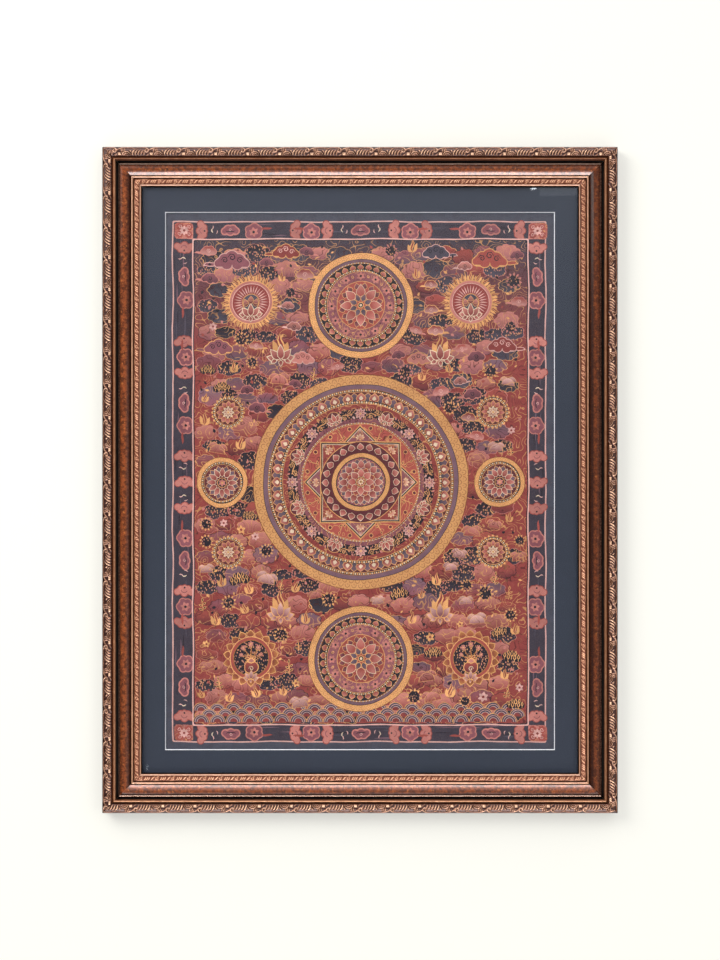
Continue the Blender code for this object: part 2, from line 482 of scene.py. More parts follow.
@dataclass(frozen=True)
class PaintFinish:
    """Mineral paint and gold line on primed cotton, seen through the fine weave."""

    name: str = "mineral_paint"
    thread: float = 0.0007
    leaf: float = 0.0026

    def material(self) -> bpy.types.Material:
        """Makes the paint's nodes, which read each patch's pigment from the mesh.

        Returns:
            The material.
        """
        recipe = Recipe(self.name)
        paint = self.ornaments(recipe, recipe.attribute("pigment").outputs["Color"])
        gilt = recipe.attribute("gilt").outputs["Fac"]
        grains = recipe.noise(0.0012, 4.0, 0.7)
        wash = recipe.noise(0.011, 4.0, 0.6)
        colour = recipe.blend(recipe.spread(wash, 0.34, 0.70, 0.0, 0.5), paint,
                              recipe.blend(1.0, paint, (0.70, 0.60, 0.62), "MULTIPLY"))
        colour = recipe.blend(recipe.spread(grains, 0.52, 0.78, 0.0, 0.22), colour,
                              linear((200, 150, 130)))
        colour = recipe.blend(recipe.spread(grains, 0.46, 0.24, 0.0, 0.4), colour,
                              linear((44, 30, 34)))
        normal = recipe.bump(self.weave(recipe), 0.00010, 0.7)
        normal = recipe.bump(wash, 0.00012, 0.5, normal)
        rough = recipe.spread(gilt, 0.0, 1.0, 0.80, 0.46)
        metal = recipe.math("MULTIPLY", gilt, 0.2)
        return recipe.surface(Base_Color=colour, Roughness=rough, Metallic=metal, Normal=normal,
                              Specular_IOR_Level=0.15)

    def ornaments(self, recipe: Recipe, paint: bpy.types.NodeSocket) -> bpy.types.NodeSocket:
        """Draws waves, beads, tracery, leaves and ripples where the mesh asks for them.

        Args:
            recipe: the material that they go into.
            paint: the patches' own colour.

        Returns:
            The colour with the ornaments on it.
        """
        hub = recipe.parts(recipe.attribute("hub").outputs["Vector"])
        band = recipe.parts(recipe.attribute("band").outputs["Vector"])
        place = recipe.parts(recipe.place)
        math, spread = recipe.math, recipe.spread
        across, up = math("SUBTRACT", place[0], hub[0]), math("SUBTRACT", place[2], hub[1])
        reach = recipe.length(across, up)
        repeats = math("MULTIPLY", math("ARCTAN2", across, up), math("DIVIDE", band[2], 2 * pi))
        inwards = math("DIVIDE", math("SUBTRACT", reach, band[0]), band[1])

        def drawn(ornament: Ornament, share: object, base: object, ink: object
                  ) -> bpy.types.NodeSocket:
            """Lays one ornament's ink over the base where a patch carries that ornament."""
            chosen = math("LESS_THAN", math("ABSOLUTE", math("SUBTRACT", hub[2],
                                                             float(ornament.value))), 0.5)
            return recipe.blend(math("MULTIPLY", chosen, share), base, ink)

        rows = math("MULTIPLY", inwards, 2.0)
        shifted = math("ADD", repeats, math("MULTIPLY", math("FLOOR", rows), 0.5))
        aside = math("MULTIPLY", math("SUBTRACT", math("FRACT", shifted), 0.5), 1.9)
        arcs = math("PINGPONG", math("MULTIPLY", recipe.length(aside, math("FRACT", rows)), 1.5),
                    0.5)
        colour = drawn(Ornament.WAVES, spread(arcs, 0.16, 0.06, 0.0, 0.7), paint,
                       linear((128, 84, 50)))
        round_up = recipe.length(math("SUBTRACT", math("FRACT", repeats), 0.5),
                                 math("SUBTRACT", inwards, 0.5))
        odd = math("FLOORED_MODULO", math("FLOOR", repeats), 2.0)
        beads = recipe.blend(odd, linear(Pigment.CREAM.value), linear(Pigment.GOLD.value))
        colour = drawn(Ornament.BEADS, spread(round_up, 0.42, 0.34), colour, beads)
        lines = math("PINGPONG", math("MULTIPLY", recipe.noise(0.020, 1.0, 0.4), 9.0), 0.5)
        fainter = spread(recipe.noise(0.03, 1.0), 0.40, 0.52)
        tracery = recipe.blend(fainter, linear((70, 32, 34)), linear(Pigment.GOLD.value))
        colour = drawn(Ornament.TRACERY, spread(lines, 0.10, 0.05, 0.0, 0.7), colour, tracery)
        cells = recipe.node("ShaderNodeTexVoronoi")
        recipe.feed(cells.inputs["Vector"], recipe.stretched((1.0, 1.0, 0.62)))
        cells.inputs["Scale"].default_value = 1 / self.leaf
        tint = recipe.parts(cells.outputs["Color"])[0]
        leaf = recipe.blend(tint, linear(Pigment.GOLD.value), linear(Pigment.SALMON.value))
        colour = drawn(Ornament.LEAVES, spread(cells.outputs["Distance"], 0.40, 0.28), colour,
                       leaf)
        ripples = math("PINGPONG", math("DIVIDE", reach, band[1]), 0.5)
        return drawn(Ornament.RINGS, spread(ripples, 0.16, 0.08), colour,
                     linear(Pigment.ROSE.value))

    def weave(self, recipe: Recipe) -> bpy.types.NodeSocket:
        """Plain weave: threads that pass over and under by turns.

        Args:
            recipe: the material that the weave goes into.

        Returns:
            The height of the threads, from 0 to 1.
        """
        across, _, up = recipe.parts(recipe.place)
        waves = [recipe.math("SINE", recipe.math("MULTIPLY", way, 2 * pi / self.thread))
                 for way in (across, up)]
        return recipe.spread(recipe.math("MULTIPLY", *waves), -1.0, 1.0)


@dataclass(frozen=True)
class CanvasFinish:
    """Bare primed cotton, as it shows on the back of the cloth and at its rim."""

    name: str = "bare_cotton"

    def material(self) -> bpy.types.Material:
        """Makes the cotton's nodes.

        Returns:
            The material.
        """
        recipe = Recipe(self.name)
        slub = recipe.noise(0.004, 4.0, 0.6, recipe.stretched((1.0, 1.0, 0.15)))
        colour = recipe.blend(recipe.spread(slub, 0.35, 0.7), linear((206, 192, 168)),
                              linear((178, 160, 134)))
        normal = recipe.bump(PaintFinish().weave(recipe), 0.00016, 0.9)
        return recipe.surface(Base_Color=colour, Roughness=0.88, Normal=normal)


@dataclass
class MeshParts:
    """Vertices and faces of a piece while it is made."""

    vertices: np.ndarray
    faces: list
    materials: list[int] = field(default_factory=list)

    def to_object(self, name: str, finishes: list[bpy.types.Material],
                  sharp: float = 32.0) -> bpy.types.Object:
        """Turns the parts into a smooth shaded object.

        Args:
            name: the piece's name.
            finishes: the materials that the faces' numbers stand for.
            sharp: the angle in degrees past which an edge stays sharp.

        Returns:
            The object, in the scene.
        """
        mesh = bpy.data.meshes.new(name)
        mesh.from_pydata(self.vertices.tolist(), [], self.faces)
        for finish in finishes:
            mesh.materials.append(finish)
        if self.materials:
            mesh.polygons.foreach_set("material_index", self.materials)
        mesh.update()
        mesh.shade_smooth()
        mesh.set_sharp_from_angle(angle=radians(sharp))
        made = bpy.data.objects.new(name, mesh)
        bpy.context.scene.collection.objects.link(made)
        return made


def fit(piece: bpy.types.Object, slot: str, *nodes: str) -> bpy.types.Object:
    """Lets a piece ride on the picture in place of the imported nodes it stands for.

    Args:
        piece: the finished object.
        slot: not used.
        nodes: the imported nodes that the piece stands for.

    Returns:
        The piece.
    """
    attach(piece, "root")
    if nodes:
        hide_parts(*nodes)
    log.info("%s: %d faces", piece.name, len(piece.data.polygons))
    return piece


@dataclass(frozen=True)
class Stroke:
    """One raised lobe, rib or scroll of a carved repeat, in millimetres.

    Each knot is (along the rail, across it from the outer side). The path is the Bezier curve
    of the knots. Its half width runs from thin to wide and back to thin.
    """

    knots: tuple[Point, ...]
    thin: float
    wide: float
    height: float

    def samples(self, steps: int = 26) -> list[tuple[float, float, float, float]]:
        """Walks along the stroke.

        Args:
            steps: how many places are wanted.

        Returns:
            For each place its along, across, half width and height.
        """
        found = []
        for step in range(steps):
            t = step / (steps - 1)
            knots = [np.array(knot, float) for knot in self.knots]
            while len(knots) > 1:
                knots = [(1 - t) * a + t * b for a, b in zip(knots, knots[1:])]
            swell = sin(pi * t) ** 0.7 if 0 < t < 1 else 0.0
            half = self.thin + (self.wide - self.thin) * swell
            found.append((*knots[0], half, self.height * (0.62 + 0.38 * swell)))
        return found


@dataclass(frozen=True)
class Curl:
    """A scroll that winds inwards, in millimetres and degrees."""

    centre: Point
    radius: float
    start: float
    sweep: float
    half: float
    height: float
    tight: float = 0.25

    def samples(self, steps: int = 34) -> list[tuple[float, float, float, float]]:
        """Walks along the scroll.

        Args:
            steps: how many places are wanted.

        Returns:
            For each place its along, across, half width and height.
        """
        found = []
        for step in range(steps):
            t = step / (steps - 1)
            angle = radians(self.start + self.sweep * t)
            reach = self.radius * (1 - (1 - self.tight) * t)
            along = self.centre[0] + reach * cos(angle)
            across = self.centre[1] + reach * sin(angle)
            found.append((along, across, self.half * (1 - 0.35 * t), self.height))
        return found


@dataclass(frozen=True)
class Pad:
    """A small square block with rounded edges, in millimetres."""

    centre: Point
    half_along: float
    half_across: float
    height: float


def outer_leaves() -> tuple[Stroke | Curl | Pad, ...]:
    """The running acanthus of the outer band.

    Returns:
        The strokes of one repeat.
    """
    shell = [Curl((15.0, 15.6), radius, 178, 184, 0.95, 1.15 + 0.08 * radius, 1.0)
             for radius in (2.2, 4.6, 7.0)]
    lobes = []
    for turn in range(5):
        foot = 24.5 + 4.5 * turn
        lobes.append(Stroke(((foot, 15.4), (foot - 0.6, 9.5), (foot + 5.2, 4.6 + 0.5 * turn)),
                            0.45, 1.35, 1.9 - 0.12 * turn))
    tips = [Stroke(((7.4 + 2.6 * n, 10.6 - 0.9 * n), (8.6 + 2.6 * n, 7.0), (6.2 + 2.9 * n, 3.2)),
                   0.4, 1.0, 1.5) for n in range(3)]
    return (
        Pad((4.0, 12.6), 3.0, 2.5, 1.9),
        Stroke(((-1.0, 8.6), (2.0, 0.6), (18.0, 0.4), (31.0, 3.4)), 0.8, 1.25, 1.7),
        Stroke(((30.0, 3.0), (38.0, 0.6), (47.0, 0.8), (51.0, 5.0)), 0.6, 1.2, 1.6),
        Curl((46.6, 6.6), 4.1, -100, 400, 0.95, 1.7),
        Stroke(((44.0, 15.6), (48.0, 15.2), (51.0, 11.6)), 0.5, 1.1, 1.5),
        Stroke(((20.6, 6.2), (21.8, 7.4), (22.8, 9.0)), 0.7, 1.15, 1.7),
        *shell, *lobes, *tips,
    )


def inner_leaves() -> tuple[Stroke | Curl | Pad, ...]:
    """The small slanting leaves of the inner band.

    Returns:
        The strokes of one repeat.
    """
    slants = [Stroke(((1.2 + 3.0 * n, 7.2), (1.8 + 3.0 * n, 4.0), (5.0 + 3.0 * n, 1.2)),
                     0.30, 0.80, 0.75) for n in range(3)]
    return (
        Curl((16.2, 4.3), 2.7, 120, 380, 0.62, 0.7),
        Stroke(((18.4, 7.3), (21.5, 6.6), (22.4, 3.2), (25.6, 1.4)), 0.35, 0.85, 0.75),
        Stroke(((11.6, 7.2), (13.0, 7.6), (15.2, 7.0)), 0.35, 0.7, 0.7),
        Stroke(((11.8, 1.0), (17.0, 0.6), (22.0, 1.1)), 0.3, 0.6, 0.7),
        *slants,
    )


@dataclass(frozen=True)
class Carving:
    """A carved repeat and how finely it is cut."""

    pitch: float
    strokes: tuple[Stroke | Curl | Pad, ...]
    sink: float
    under: float
    cell: float
    tile_step: float = 0.00030

    def tile(self, width: float) -> np.ndarray:
        """Cuts one repeat.

        Args:
            width: the width of the band in metres.

        Returns:
            The relief's height in metres, in rows across and columns along the repeat.
        """
        along = np.arange(round(self.pitch / self.tile_step)) * self.tile_step / MM
        across = np.arange(ceil(width / self.tile_step) + 1) * self.tile_step / MM
        grid_along, grid_across = np.meshgrid(along, across)
        pitch = self.pitch / MM
        relief = np.zeros_like(grid_along)
        for stroke in self.strokes:
            if isinstance(stroke, Pad):
                away = (grid_along - stroke.centre[0] + pitch / 2) % pitch - pitch / 2
                reach = np.maximum(abs(away) / stroke.half_along,
                                   abs(grid_across - stroke.centre[1]) / stroke.half_across)
                relief = np.maximum(relief, stroke.height * np.clip(1 - reach ** 7, 0, 1))
                continue
            for place, side, half, height in stroke.samples():
                away = (grid_along - place + pitch / 2) % pitch - pitch / 2
                square = (away ** 2 + (grid_across - side) ** 2) / half ** 2
                relief = np.maximum(relief, height * np.sqrt(np.clip(1 - square, 0, 1)))
        return relief * MM

    def read(self, tile: np.ndarray, along: np.ndarray, across: np.ndarray) -> np.ndarray:
        """Reads the relief between the tile's points.

        Args:
            tile: the repeat, from tile().
            along: places along the rail in metres.
            across: places across the band in metres, of the same shape.

        Returns:
            The heights in metres.
        """
        column = (along / self.tile_step) % tile.shape[1]
        row = np.clip(across / self.tile_step, 0, tile.shape[0] - 1.001)
        left, top = column.astype(int), row.astype(int)
        right = (left + 1) % tile.shape[1]
        share_column, share_row = column - left, row - top
        upper = tile[top, left] * (1 - share_column) + tile[top, right] * share_column
        lower = tile[top + 1, left] * (1 - share_column) + tile[top + 1, right] * share_column
        return upper * (1 - share_row) + lower * share_row


@dataclass(frozen=True)
class Member:
    """One member of the moulding. Start and end lie inwards of the rail's outer edge."""

    name: str
    start: float
    end: float
    outer: float
    inner: float
    crown: float
    finish: GiltFinish
    carving: Carving | None = None

    def depth(self, across: np.ndarray) -> np.ndarray:
        """The member's own curve, without any carving."""
        share = (across - self.start) / (self.end - self.start)
        return self.outer + share * (self.inner - self.outer) + 4 * self.crown * share * (1 - share)


# On the carved leaves the crest colour is a painted highlight and the hollow colour is painted shade.
OUTER_LEAF = GiltFinish("outer_leaf_gilt", (226, 182, 148), (138, 92, 68), (56, 26, 16),
                        0.40, 0.45, 0.42, 0.005, True, 0.2, 0.3)
BEAD_GILT = GiltFinish("bead_gilt", (232, 186, 142), (178, 126, 90), (84, 38, 18),
                       0.40, 0.35, 0.30, 0.012, False, 0.1, 0.3)
# Near black in the cove and the quirk: painted shade in these recesses.
HOLLOW_PAINTED_SHADE = GiltFinish("hollow_glaze", (34, 20, 14), (14, 7, 5), (5, 3, 2),
                          0.60, 0.0, 0.40, 0.010, False, 0.0, 0.08)
STEP_GILT = GiltFinish("step_gilt", (236, 208, 188), (212, 174, 150), (50, 24, 14),
                       0.22, 0.85, 0.15, 0.010, False, 0.9)
COPPER_SWELL = GiltFinish("copper_swelling", (208, 122, 58), (150, 75, 36), (42, 17, 8),
                          0.32, 0.12, 0.70, 0.0065, False, 1.0, 0.3)
# Dark brown on the groove floors between members: painted shade.
GROOVE_PAINTED_SHADE = GiltFinish("quirk_glaze", (120, 68, 42), (92, 48, 28), (46, 22, 12),
                         0.60, 0.0, 0.40, 0.010, False, 0.0, 0.08)
FILLET_GILT = GiltFinish("inner_fillet_gilt", (230, 184, 146), (190, 140, 106), (110, 58, 34),
                         0.36, 0.35, 0.30, 0.010, False, 0.6, 0.3)
INNER_LEAF = GiltFinish("inner_leaf_gilt", (232, 180, 140), (186, 130, 96), (112, 60, 40),
                        0.44, 0.35, 0.30, 0.004, True, 0.15, 0.3)
LIP_GILT = GiltFinish("sight_lip_gilt", (226, 182, 150), (184, 138, 110), (110, 58, 36),
                      0.38, 0.35, 0.25, 0.008, False, 0.5, 0.3)
# Near black on the sloped sight edge and the face below it: painted shade of the gap over the mat.
SIGHT_EDGE_PAINTED_SHADE = GiltFinish("sight_edge_glaze", (14, 8, 6), (6, 3, 2), (2, 1, 1),
                         0.70, 0.0, 0.40, 0.010, False, 0.0, 0.0)
SIDE_GLAZE = GiltFinish("outer_side_glaze", (128, 66, 36), (88, 42, 20), (36, 16, 8),
                        0.46, 0.40, 0.55, 0.012, False, 0.2, 0.3)


@dataclass
class Moulding:
    """The carved picture moulding that all four rails are cut from."""

    face: float = 0.062
    rabbet_width: float = 0.008
    rabbet_depth: float = 0.0105
    groove_drop: float = 0.0012
    crown_steps: int = 10
    mitre_gap: float = 0.0003
    body_rows: int = 40
    members: tuple[Member, ...] = (
        Member("outer_leaf_band", 0.0000, 0.0156, 0.0262, 0.0272, 0.0032, OUTER_LEAF,
               Carving(0.0510, outer_leaves(), 0.0019, 0.0040, 0.00062)),
        Member("bead", 0.0182, 0.0206, 0.0266, 0.0262, 0.0010, BEAD_GILT),
        Member("hollow", 0.0210, 0.0246, 0.0175, 0.0165, -0.0010, HOLLOW_PAINTED_SHADE),
        Member("step_fillet", 0.0250, 0.0275, 0.0186, 0.0188, 0.0008, STEP_GILT),
        Member("swelling", 0.0279, 0.0434, 0.0196, 0.0161, 0.0025, COPPER_SWELL),
        Member("quirk", 0.0437, 0.0445, 0.0132, 0.0130, 0.0000, HOLLOW_PAINTED_SHADE),
        Member("inner_fillet", 0.0449, 0.0477, 0.0158, 0.0156, 0.0008, FILLET_GILT),
        Member("inner_leaf_band", 0.0490, 0.0578, 0.0142, 0.0136, 0.0010, INNER_LEAF,
               Carving(0.0255, inner_leaves(), 0.0009, 0.0022, 0.00060)),
        Member("sight_lip", 0.0582, 0.0606, 0.0150, 0.0146, 0.0008, LIP_GILT),
    )

    def outline(self) -> tuple[list[Point], list[GiltFinish | None], list[Point]]:
        """The section of a rail without its carved strips.

        Returns:
            Points of (distance inwards, depth) once round, the finish of the face that follows
            each point, with None for bare wood, and for each point how far it lies down its
            member's inner side and how far out on the swelling, which set its patina and painted
            shade.
        """
        points: list[Point] = [(0.0, 0.0)]
        finishes: list[GiltFinish | None] = [SIDE_GLAZE]
        # Each point's share down its member's inner side and out on a high-crowned member's outer
        # shoulder; these set its patina and painted shade.
        patina_and_shade_places = [(0.6, 0.5)]
        last: Member | None = None
        for member in self.members:
            lower = member.carving.under - 0.0006 if member.carving else 0.0
            if last:
                # Each groove floor between two members gets the dark painted shade finish.
                floor = min(last.inner, member.outer) - self.groove_drop - lower
                points += [(last.end, floor), (member.start, floor)]
                finishes += [GROOVE_PAINTED_SHADE, member.finish]
                patina_and_shade_places += [(0.3, 1.0)] * 2
            for share in np.linspace(0, 1, self.crown_steps + 1):
                across = member.start + share * (member.end - member.start)
                points.append((float(across), float(member.depth(across)) - lower))
                finishes.append(member.finish)
                outside = smooth_share((0.42 - share) / 0.36) * (member.crown > 0.002)
                patina_and_shade_places.append((smooth_share((share - 0.55) / 0.45), outside))
            last = member
        # The sloped face at the sight edge and the face below it take the near-black painted shade.
        finishes[-1] = SIGHT_EDGE_PAINTED_SHADE
        points += [(self.face, last.inner - 0.0022), (self.face, self.rabbet_depth),
                   (self.face - self.rabbet_width, self.rabbet_depth),
                   (self.face - self.rabbet_width, 0.0)]
        finishes += [SIGHT_EDGE_PAINTED_SHADE, None, None, None]
        return points, finishes, patina_and_shade_places + [(1.0, 1.0)] * 4

    def half_length(self, length: float, across: np.ndarray) -> np.ndarray:
        """Half the rail's length at a distance inwards, up to its mitre."""
        return length / 2 - self.mitre_gap / sqrt(2) - across


@dataclass
class Rail:
    """One mitred length of the moulding with its two carved strips."""

    name: str
    quarter_turns: int
    length: float
    reach: float
    phase: float
    # How much darker this rail is painted, as painted shade where less light falls on it.
    glaze: float
    middle: Vector
    moulding: Moulding

    def matrix(self) -> Matrix:
        """Turns (inwards, depth, along) into the rail's place round the frame."""
        lie_along_top = Matrix(((0, 0, -1), (0, -1, 0), (-1, 0, 0))).to_4x4()
        turn = Matrix.Rotation(radians(90 * self.quarter_turns), 4, "Y")
        lift = Matrix.Translation((0.0, 0.0, self.reach))
        return Matrix.Translation(self.middle) @ turn @ lift @ lie_along_top

    def swept(self, across: np.ndarray, depth: np.ndarray, along: np.ndarray) -> MeshParts:
        """Closes a sweep of one loop along the rail.

        Args:
            across: the loop's distances inwards, one for each point.
            depth: depths in rows along the rail and columns round the loop.
            along: places along the rail, shaped as depth.

        Returns:
            The closed mesh, in the picture's frame, with its faces outwards.
        """
        rows, columns = depth.shape
        local = np.stack([np.broadcast_to(across, depth.shape), depth, along], -1).reshape(-1, 3)
        turn = np.array(self.matrix())
        vertices = local @ turn[:3, :3].T + turn[:3, 3]
        index = np.arange(rows * columns).reshape(rows, columns)
        nearer, further = index[:-1], index[1:]
        quads = np.stack([nearer, np.roll(nearer, -1, 1), np.roll(further, -1, 1), further], -1)
        faces = quads.reshape(-1, 4)
        corners = vertices[faces[:, :3]]
        volume = np.einsum("ij,ij->i", corners[:, 0], np.cross(corners[:, 1], corners[:, 2])).sum()
        corners = vertices[faces[:, [0, 2, 3]]]
        volume += np.einsum("ij,ij->i", corners[:, 0], np.cross(corners[:, 1], corners[:, 2])).sum()
        caps = [index[0][::-1].tolist(), index[-1].tolist()]
        listed = faces.tolist()
        if volume < 0:
            listed = faces[:, ::-1].tolist()
            caps = [cap[::-1] for cap in caps]
        return MeshParts(vertices, listed + caps)

    def body(self, materials: dict[str, bpy.types.Material]) -> bpy.types.Object:
        """The plain rail, a little uneven as hand-laid gesso is.

        Args:
            materials: the finished materials by name.

        Returns:
            The rail.
        """
        points, finishes, patina_and_shade_places = self.moulding.outline()
        across = np.array([point[0] for point in points])
        rest = np.array([point[1] for point in points])
        share = np.linspace(-1, 1, self.moulding.body_rows)[:, None]
        along = share * self.moulding.half_length(self.length, across)[None, :]
        waver = 0.00005 * np.sin(along * 41 + across * 300) + 0.00004 * np.sin(along * 97 + 2.0)
        shown = (rest > 0.012) & (across > 0) & (across < self.moulding.face - 0.001)
        depth = rest[None, :] + waver * shown[None, :]
        parts = self.swept(across, depth, along)
        names = ["bare_wood" if finish is None else finish.name for finish in finishes]
        kinds = sorted(set(names))
        numbers = [kinds.index(name) for name in names]
        parts.materials = numbers * (self.moulding.body_rows - 1) + [kinds.index("bare_wood")] * 2
        wood = "upright_wood" if self.quarter_turns % 2 else "level_wood"
        used = [materials[wood if kind == "bare_wood" else kind] for kind in kinds]
        made = parts.to_object(self.name + "_moulding", used)
        inner, outer = np.array(patina_and_shade_places, np.float32).T
        swell = np.array([finish is COPPER_SWELL for finish in finishes])
        step = np.array([finish is STEP_GILT for finish in finishes])
        # These darken the colour towards the hollow's: partly patina, and painted shade where the
        # rails differ as light falls, on the uprights' swelling flanks and steps and on the level
        # rails' outer shoulders under the taller leaf band.
        if self.quarter_turns % 2:
            patina = (np.maximum(np.where(swell, 1.0, 0.3) * np.sqrt(inner), 0.25 * outer)
                      + 0.95 * step + np.where(swell, 1.6, 0.6) * self.glaze)
            dull = np.maximum(0.75 * swell + 0.95 * step, np.maximum(0.9 * outer, swell * inner))
        else:
            # On the level rails the rail's painted shade darkens the bead and step, and lightens the
            # outer shoulders.
            line = np.array([finish in (STEP_GILT, BEAD_GILT) for finish in finishes])
            patina = np.maximum(np.where(swell, 0.0, 0.7) * inner, (1 - 0.5 * self.glaze) * outer)
            patina = patina + self.glaze * line
            dull = np.maximum(outer, self.glaze * line)
        for label, column in (("patina", patina), ("dull", dull)):
            values = np.tile(np.clip(column, 0, 1).astype(np.float32), self.moulding.body_rows)
            made.data.attributes.new(label, "FLOAT", "POINT").data.foreach_set("value", values)
        return fit(made, "gilded_wood", self.name)

    def strip(self, member: Member, tile: np.ndarray,
              materials: dict[str, bpy.types.Material]) -> bpy.types.Object:
        """The carved strip on one member.

        Args:
            member: the carved member.
            tile: the cut repeat.
            materials: the finished materials by name.

        Returns:
            The strip.
        """
        carving = member.carving
        columns = ceil((member.end - member.start) / carving.cell)
        rows = ceil(self.length / carving.cell)
        face = np.linspace(member.start + 0.0001, member.end - 0.0001, columns)
        across = np.concatenate([[member.start + 0.0001], face, [member.end - 0.0001]])
        share = np.linspace(-1, 1, rows)[:, None]
        along = share * self.moulding.half_length(self.length, across)[None, :]
        places = along[:, 1:-1]
        inwards = np.broadcast_to(face, places.shape)
        relief = carving.read(tile, self.length / 2 - self.phase - places, inwards - member.start)
        cuts = np.sin(places * 2150 + inwards * 3300) + np.sin(places * 3100 - inwards * 1700)
        relief = relief * (1 - 0.16 * np.clip(cuts, 0, 2))
        nicks = 0.00006 * np.sin(places * 1900 + inwards * 900) * np.sin(inwards * 4100)
        rim = np.minimum(inwards - member.start, member.end - inwards)
        roll = np.clip(rim / 0.0016, 0, 1) ** 0.5
        depth = np.empty(along.shape)
        depth[:, 1:-1] = (member.depth(face)[None, :] - carving.sink + relief * roll + nicks
                          - 0.0008 * (1 - roll))
        base = member.depth(face).min() - carving.under
        depth[:, 0] = depth[:, -1] = base
        parts = self.swept(across, depth, along)
        made = parts.to_object(f"{self.name}_{member.name}", [materials[member.finish.name]], 60)
        # The crest value paints the carving: high is a painted highlight on crests, low is painted
        # shade in hollows and along the strip's edges.
        crest = np.zeros(along.shape, np.float32)
        crest[:, 1:-1] = relief / tile.max() * np.clip(rim / member.carving.sink / 1.4, 0.2, 1)
        made.data.attributes.new("crest", "FLOAT", "POINT").data.foreach_set("value", crest.ravel())
        return fit(made, "gilded_wood")


@dataclass
class PictureFrame:
    """Four rails of the moulding, mitred round the picture."""

    low: Vector
    high: Vector
    moulding: Moulding = field(default_factory=Moulding)

    def build(self, materials: dict[str, bpy.types.Material]) -> None:
        """Builds the rails and their carved strips.

        Args:
            materials: the finished materials by name.
        """
        width, height = self.high.x - self.low.x, self.high.z - self.low.z
        middle = Vector(((self.low.x + self.high.x) / 2, 0.0, (self.low.z + self.high.z) / 2))
        carved = [member for member in self.moulding.members if member.carving]
        tiles = [member.carving.tile(member.end - member.start) for member in carved]
        # The last number of each rail is its painted shade: it darkens parts of the top rail and the
        # whole right rail.
        for turns, (side, phase, glaze) in enumerate((
                ("top", 0.0236, 0.6), ("right", 0.014, 0.30), ("bottom", 0.005, 0.0),
                ("left", 0.013, 0.0))):
            length, reach = (height, width / 2) if turns % 2 else (width, height / 2)
            rail = Rail("rail_" + side, turns, length, reach, phase, glaze, middle, self.moulding)
            rail.body(materials)
            for member, tile in zip(carved, tiles):
                rail.strip(member, tile, materials)


@dataclass
class MatBoard:
    """Navy mat with a bevelled window, which the sight lip holds down."""

    low: Vector
    high: Vector
    window: Point = (0.6241, 0.8616)
    middle_z: float = -0.5046
    ply: float = 0.00035

    def build(self, paper: bpy.types.Material, core: bpy.types.Material) -> None:
        """Builds the board: face paper, and on the bevel the white core with its rear part in navy
        paper as painted shade.

        Args:
            paper: the face paper.
            core: the white core.
        """
        front, back = self.low.y, self.high.y
        half = np.array(self.window) / 2
        outside_middle = (self.low.z + self.high.z) / 2
        sheet = np.array((self.high.x - self.low.x, self.high.z - self.low.z)) / 2
        rings = [(sheet, outside_middle, back), (sheet, outside_middle, front)]
        for depth in (0.0, self.ply / 2, 0.54 * (back - front), back - front):
            rings.append((half - depth, self.middle_z, front + depth))
        vertices = []
        for (half_x, half_z), middle, y in rings:
            for side, up in ((-1, -1), (1, -1), (1, 1), (-1, 1)):
                vertices.append((side * half_x, y, middle + up * half_z))
        faces, materials = [], []
        for ring in range(len(rings)):
            for side in range(4):
                after = (side + 1) % 4
                there = 4 * ((ring + 1) % len(rings))
                faces.append((4 * ring + side, 4 * ring + after, there + after, there + side))
                # The bevel shows the white core only down to 0.54 of the board's thickness; below
                # that navy paper stands for painted shade near the cloth.
                materials.append(1 if ring == 3 else 0)
        parts = MeshParts(np.array(vertices), faces, materials)
        fit(parts.to_object("mat_with_window", [paper, core]), "navy_mat", "mat_board")


class Pigment(Enum):
    """The painter's palette, each colour as it shows on the cloth."""

    MARGIN = (78, 81, 94)
    CHARCOAL = (66, 60, 72)
    INK = (40, 36, 46)
    SLATE = (84, 78, 92)
    MAROON = (106, 50, 57)
    BRICK = (149, 67, 63)
    RUST = (174, 84, 75)
    SALMON = (206, 132, 121)
    ROSE = (232, 182, 172)
    MAUVE = (128, 97, 110)
    PLUM = (148, 88, 97)
    UMBER = (120, 66, 40)
    OCHRE = (186, 122, 68)
    GOLD = (228, 168, 108)
    CREAM = (236, 214, 184)


class Ornament(Enum):
    """Fine repeats that are drawn on a patch by its finish."""

    PLAIN = 0
    WAVES = 1
    BEADS = 2
    TRACERY = 3
    LEAVES = 4
    RINGS = 5


@dataclass(frozen=True)
class Patch:
    """One area of paint: its outline in millimetres across and up, and its pigment.

    A tip is the pigment that it blends into along its run. An ornament that goes round a hub
    fills a band of (inner radius, width, repeats).
    """

    outline: np.ndarray
    pigment: Pigment
    tip: Pigment | None = None
    run: np.ndarray = field(default_factory=lambda: np.array(((0.0, 0.0), (0.0, 1.0))))
    ornament: Ornament = Ornament.PLAIN
    hub: np.ndarray = field(default_factory=lambda: np.zeros(2))
    band: tuple[float, float, float] = (0.0, 1.0, 1.0)

    def moved(self, spot: Point, turn: float, size: float, flip: bool) -> "Patch":
        """The same patch elsewhere.

        Args:
            spot: where its origin goes.
            turn: by how many degrees it turns left.
            size: how many times as large it becomes.
            flip: whether it is mirrored first.

        Returns:
            The moved patch.
        """
        angle = radians(turn)
        across = np.array((cos(angle), sin(angle))) * (-size if flip else size)
        up = np.array((-sin(angle), cos(angle))) * size
        turning = np.stack((across, up))
        inner, width, repeats = self.band
        return replace(self, outline=self.outline @ turning + spot, run=self.run @ turning + spot,
                       hub=self.hub @ turning + spot, band=(inner * size, width * size, repeats))


Motif = list[Patch]


def placed(motif: Motif, spot: Point, turn: float = 0.0, size: float = 1.0,
           flip: bool = False) -> Motif:
    """Moves a whole motif, as Patch.moved does each patch."""
    return [patch.moved(spot, turn, size, flip) for patch in motif]


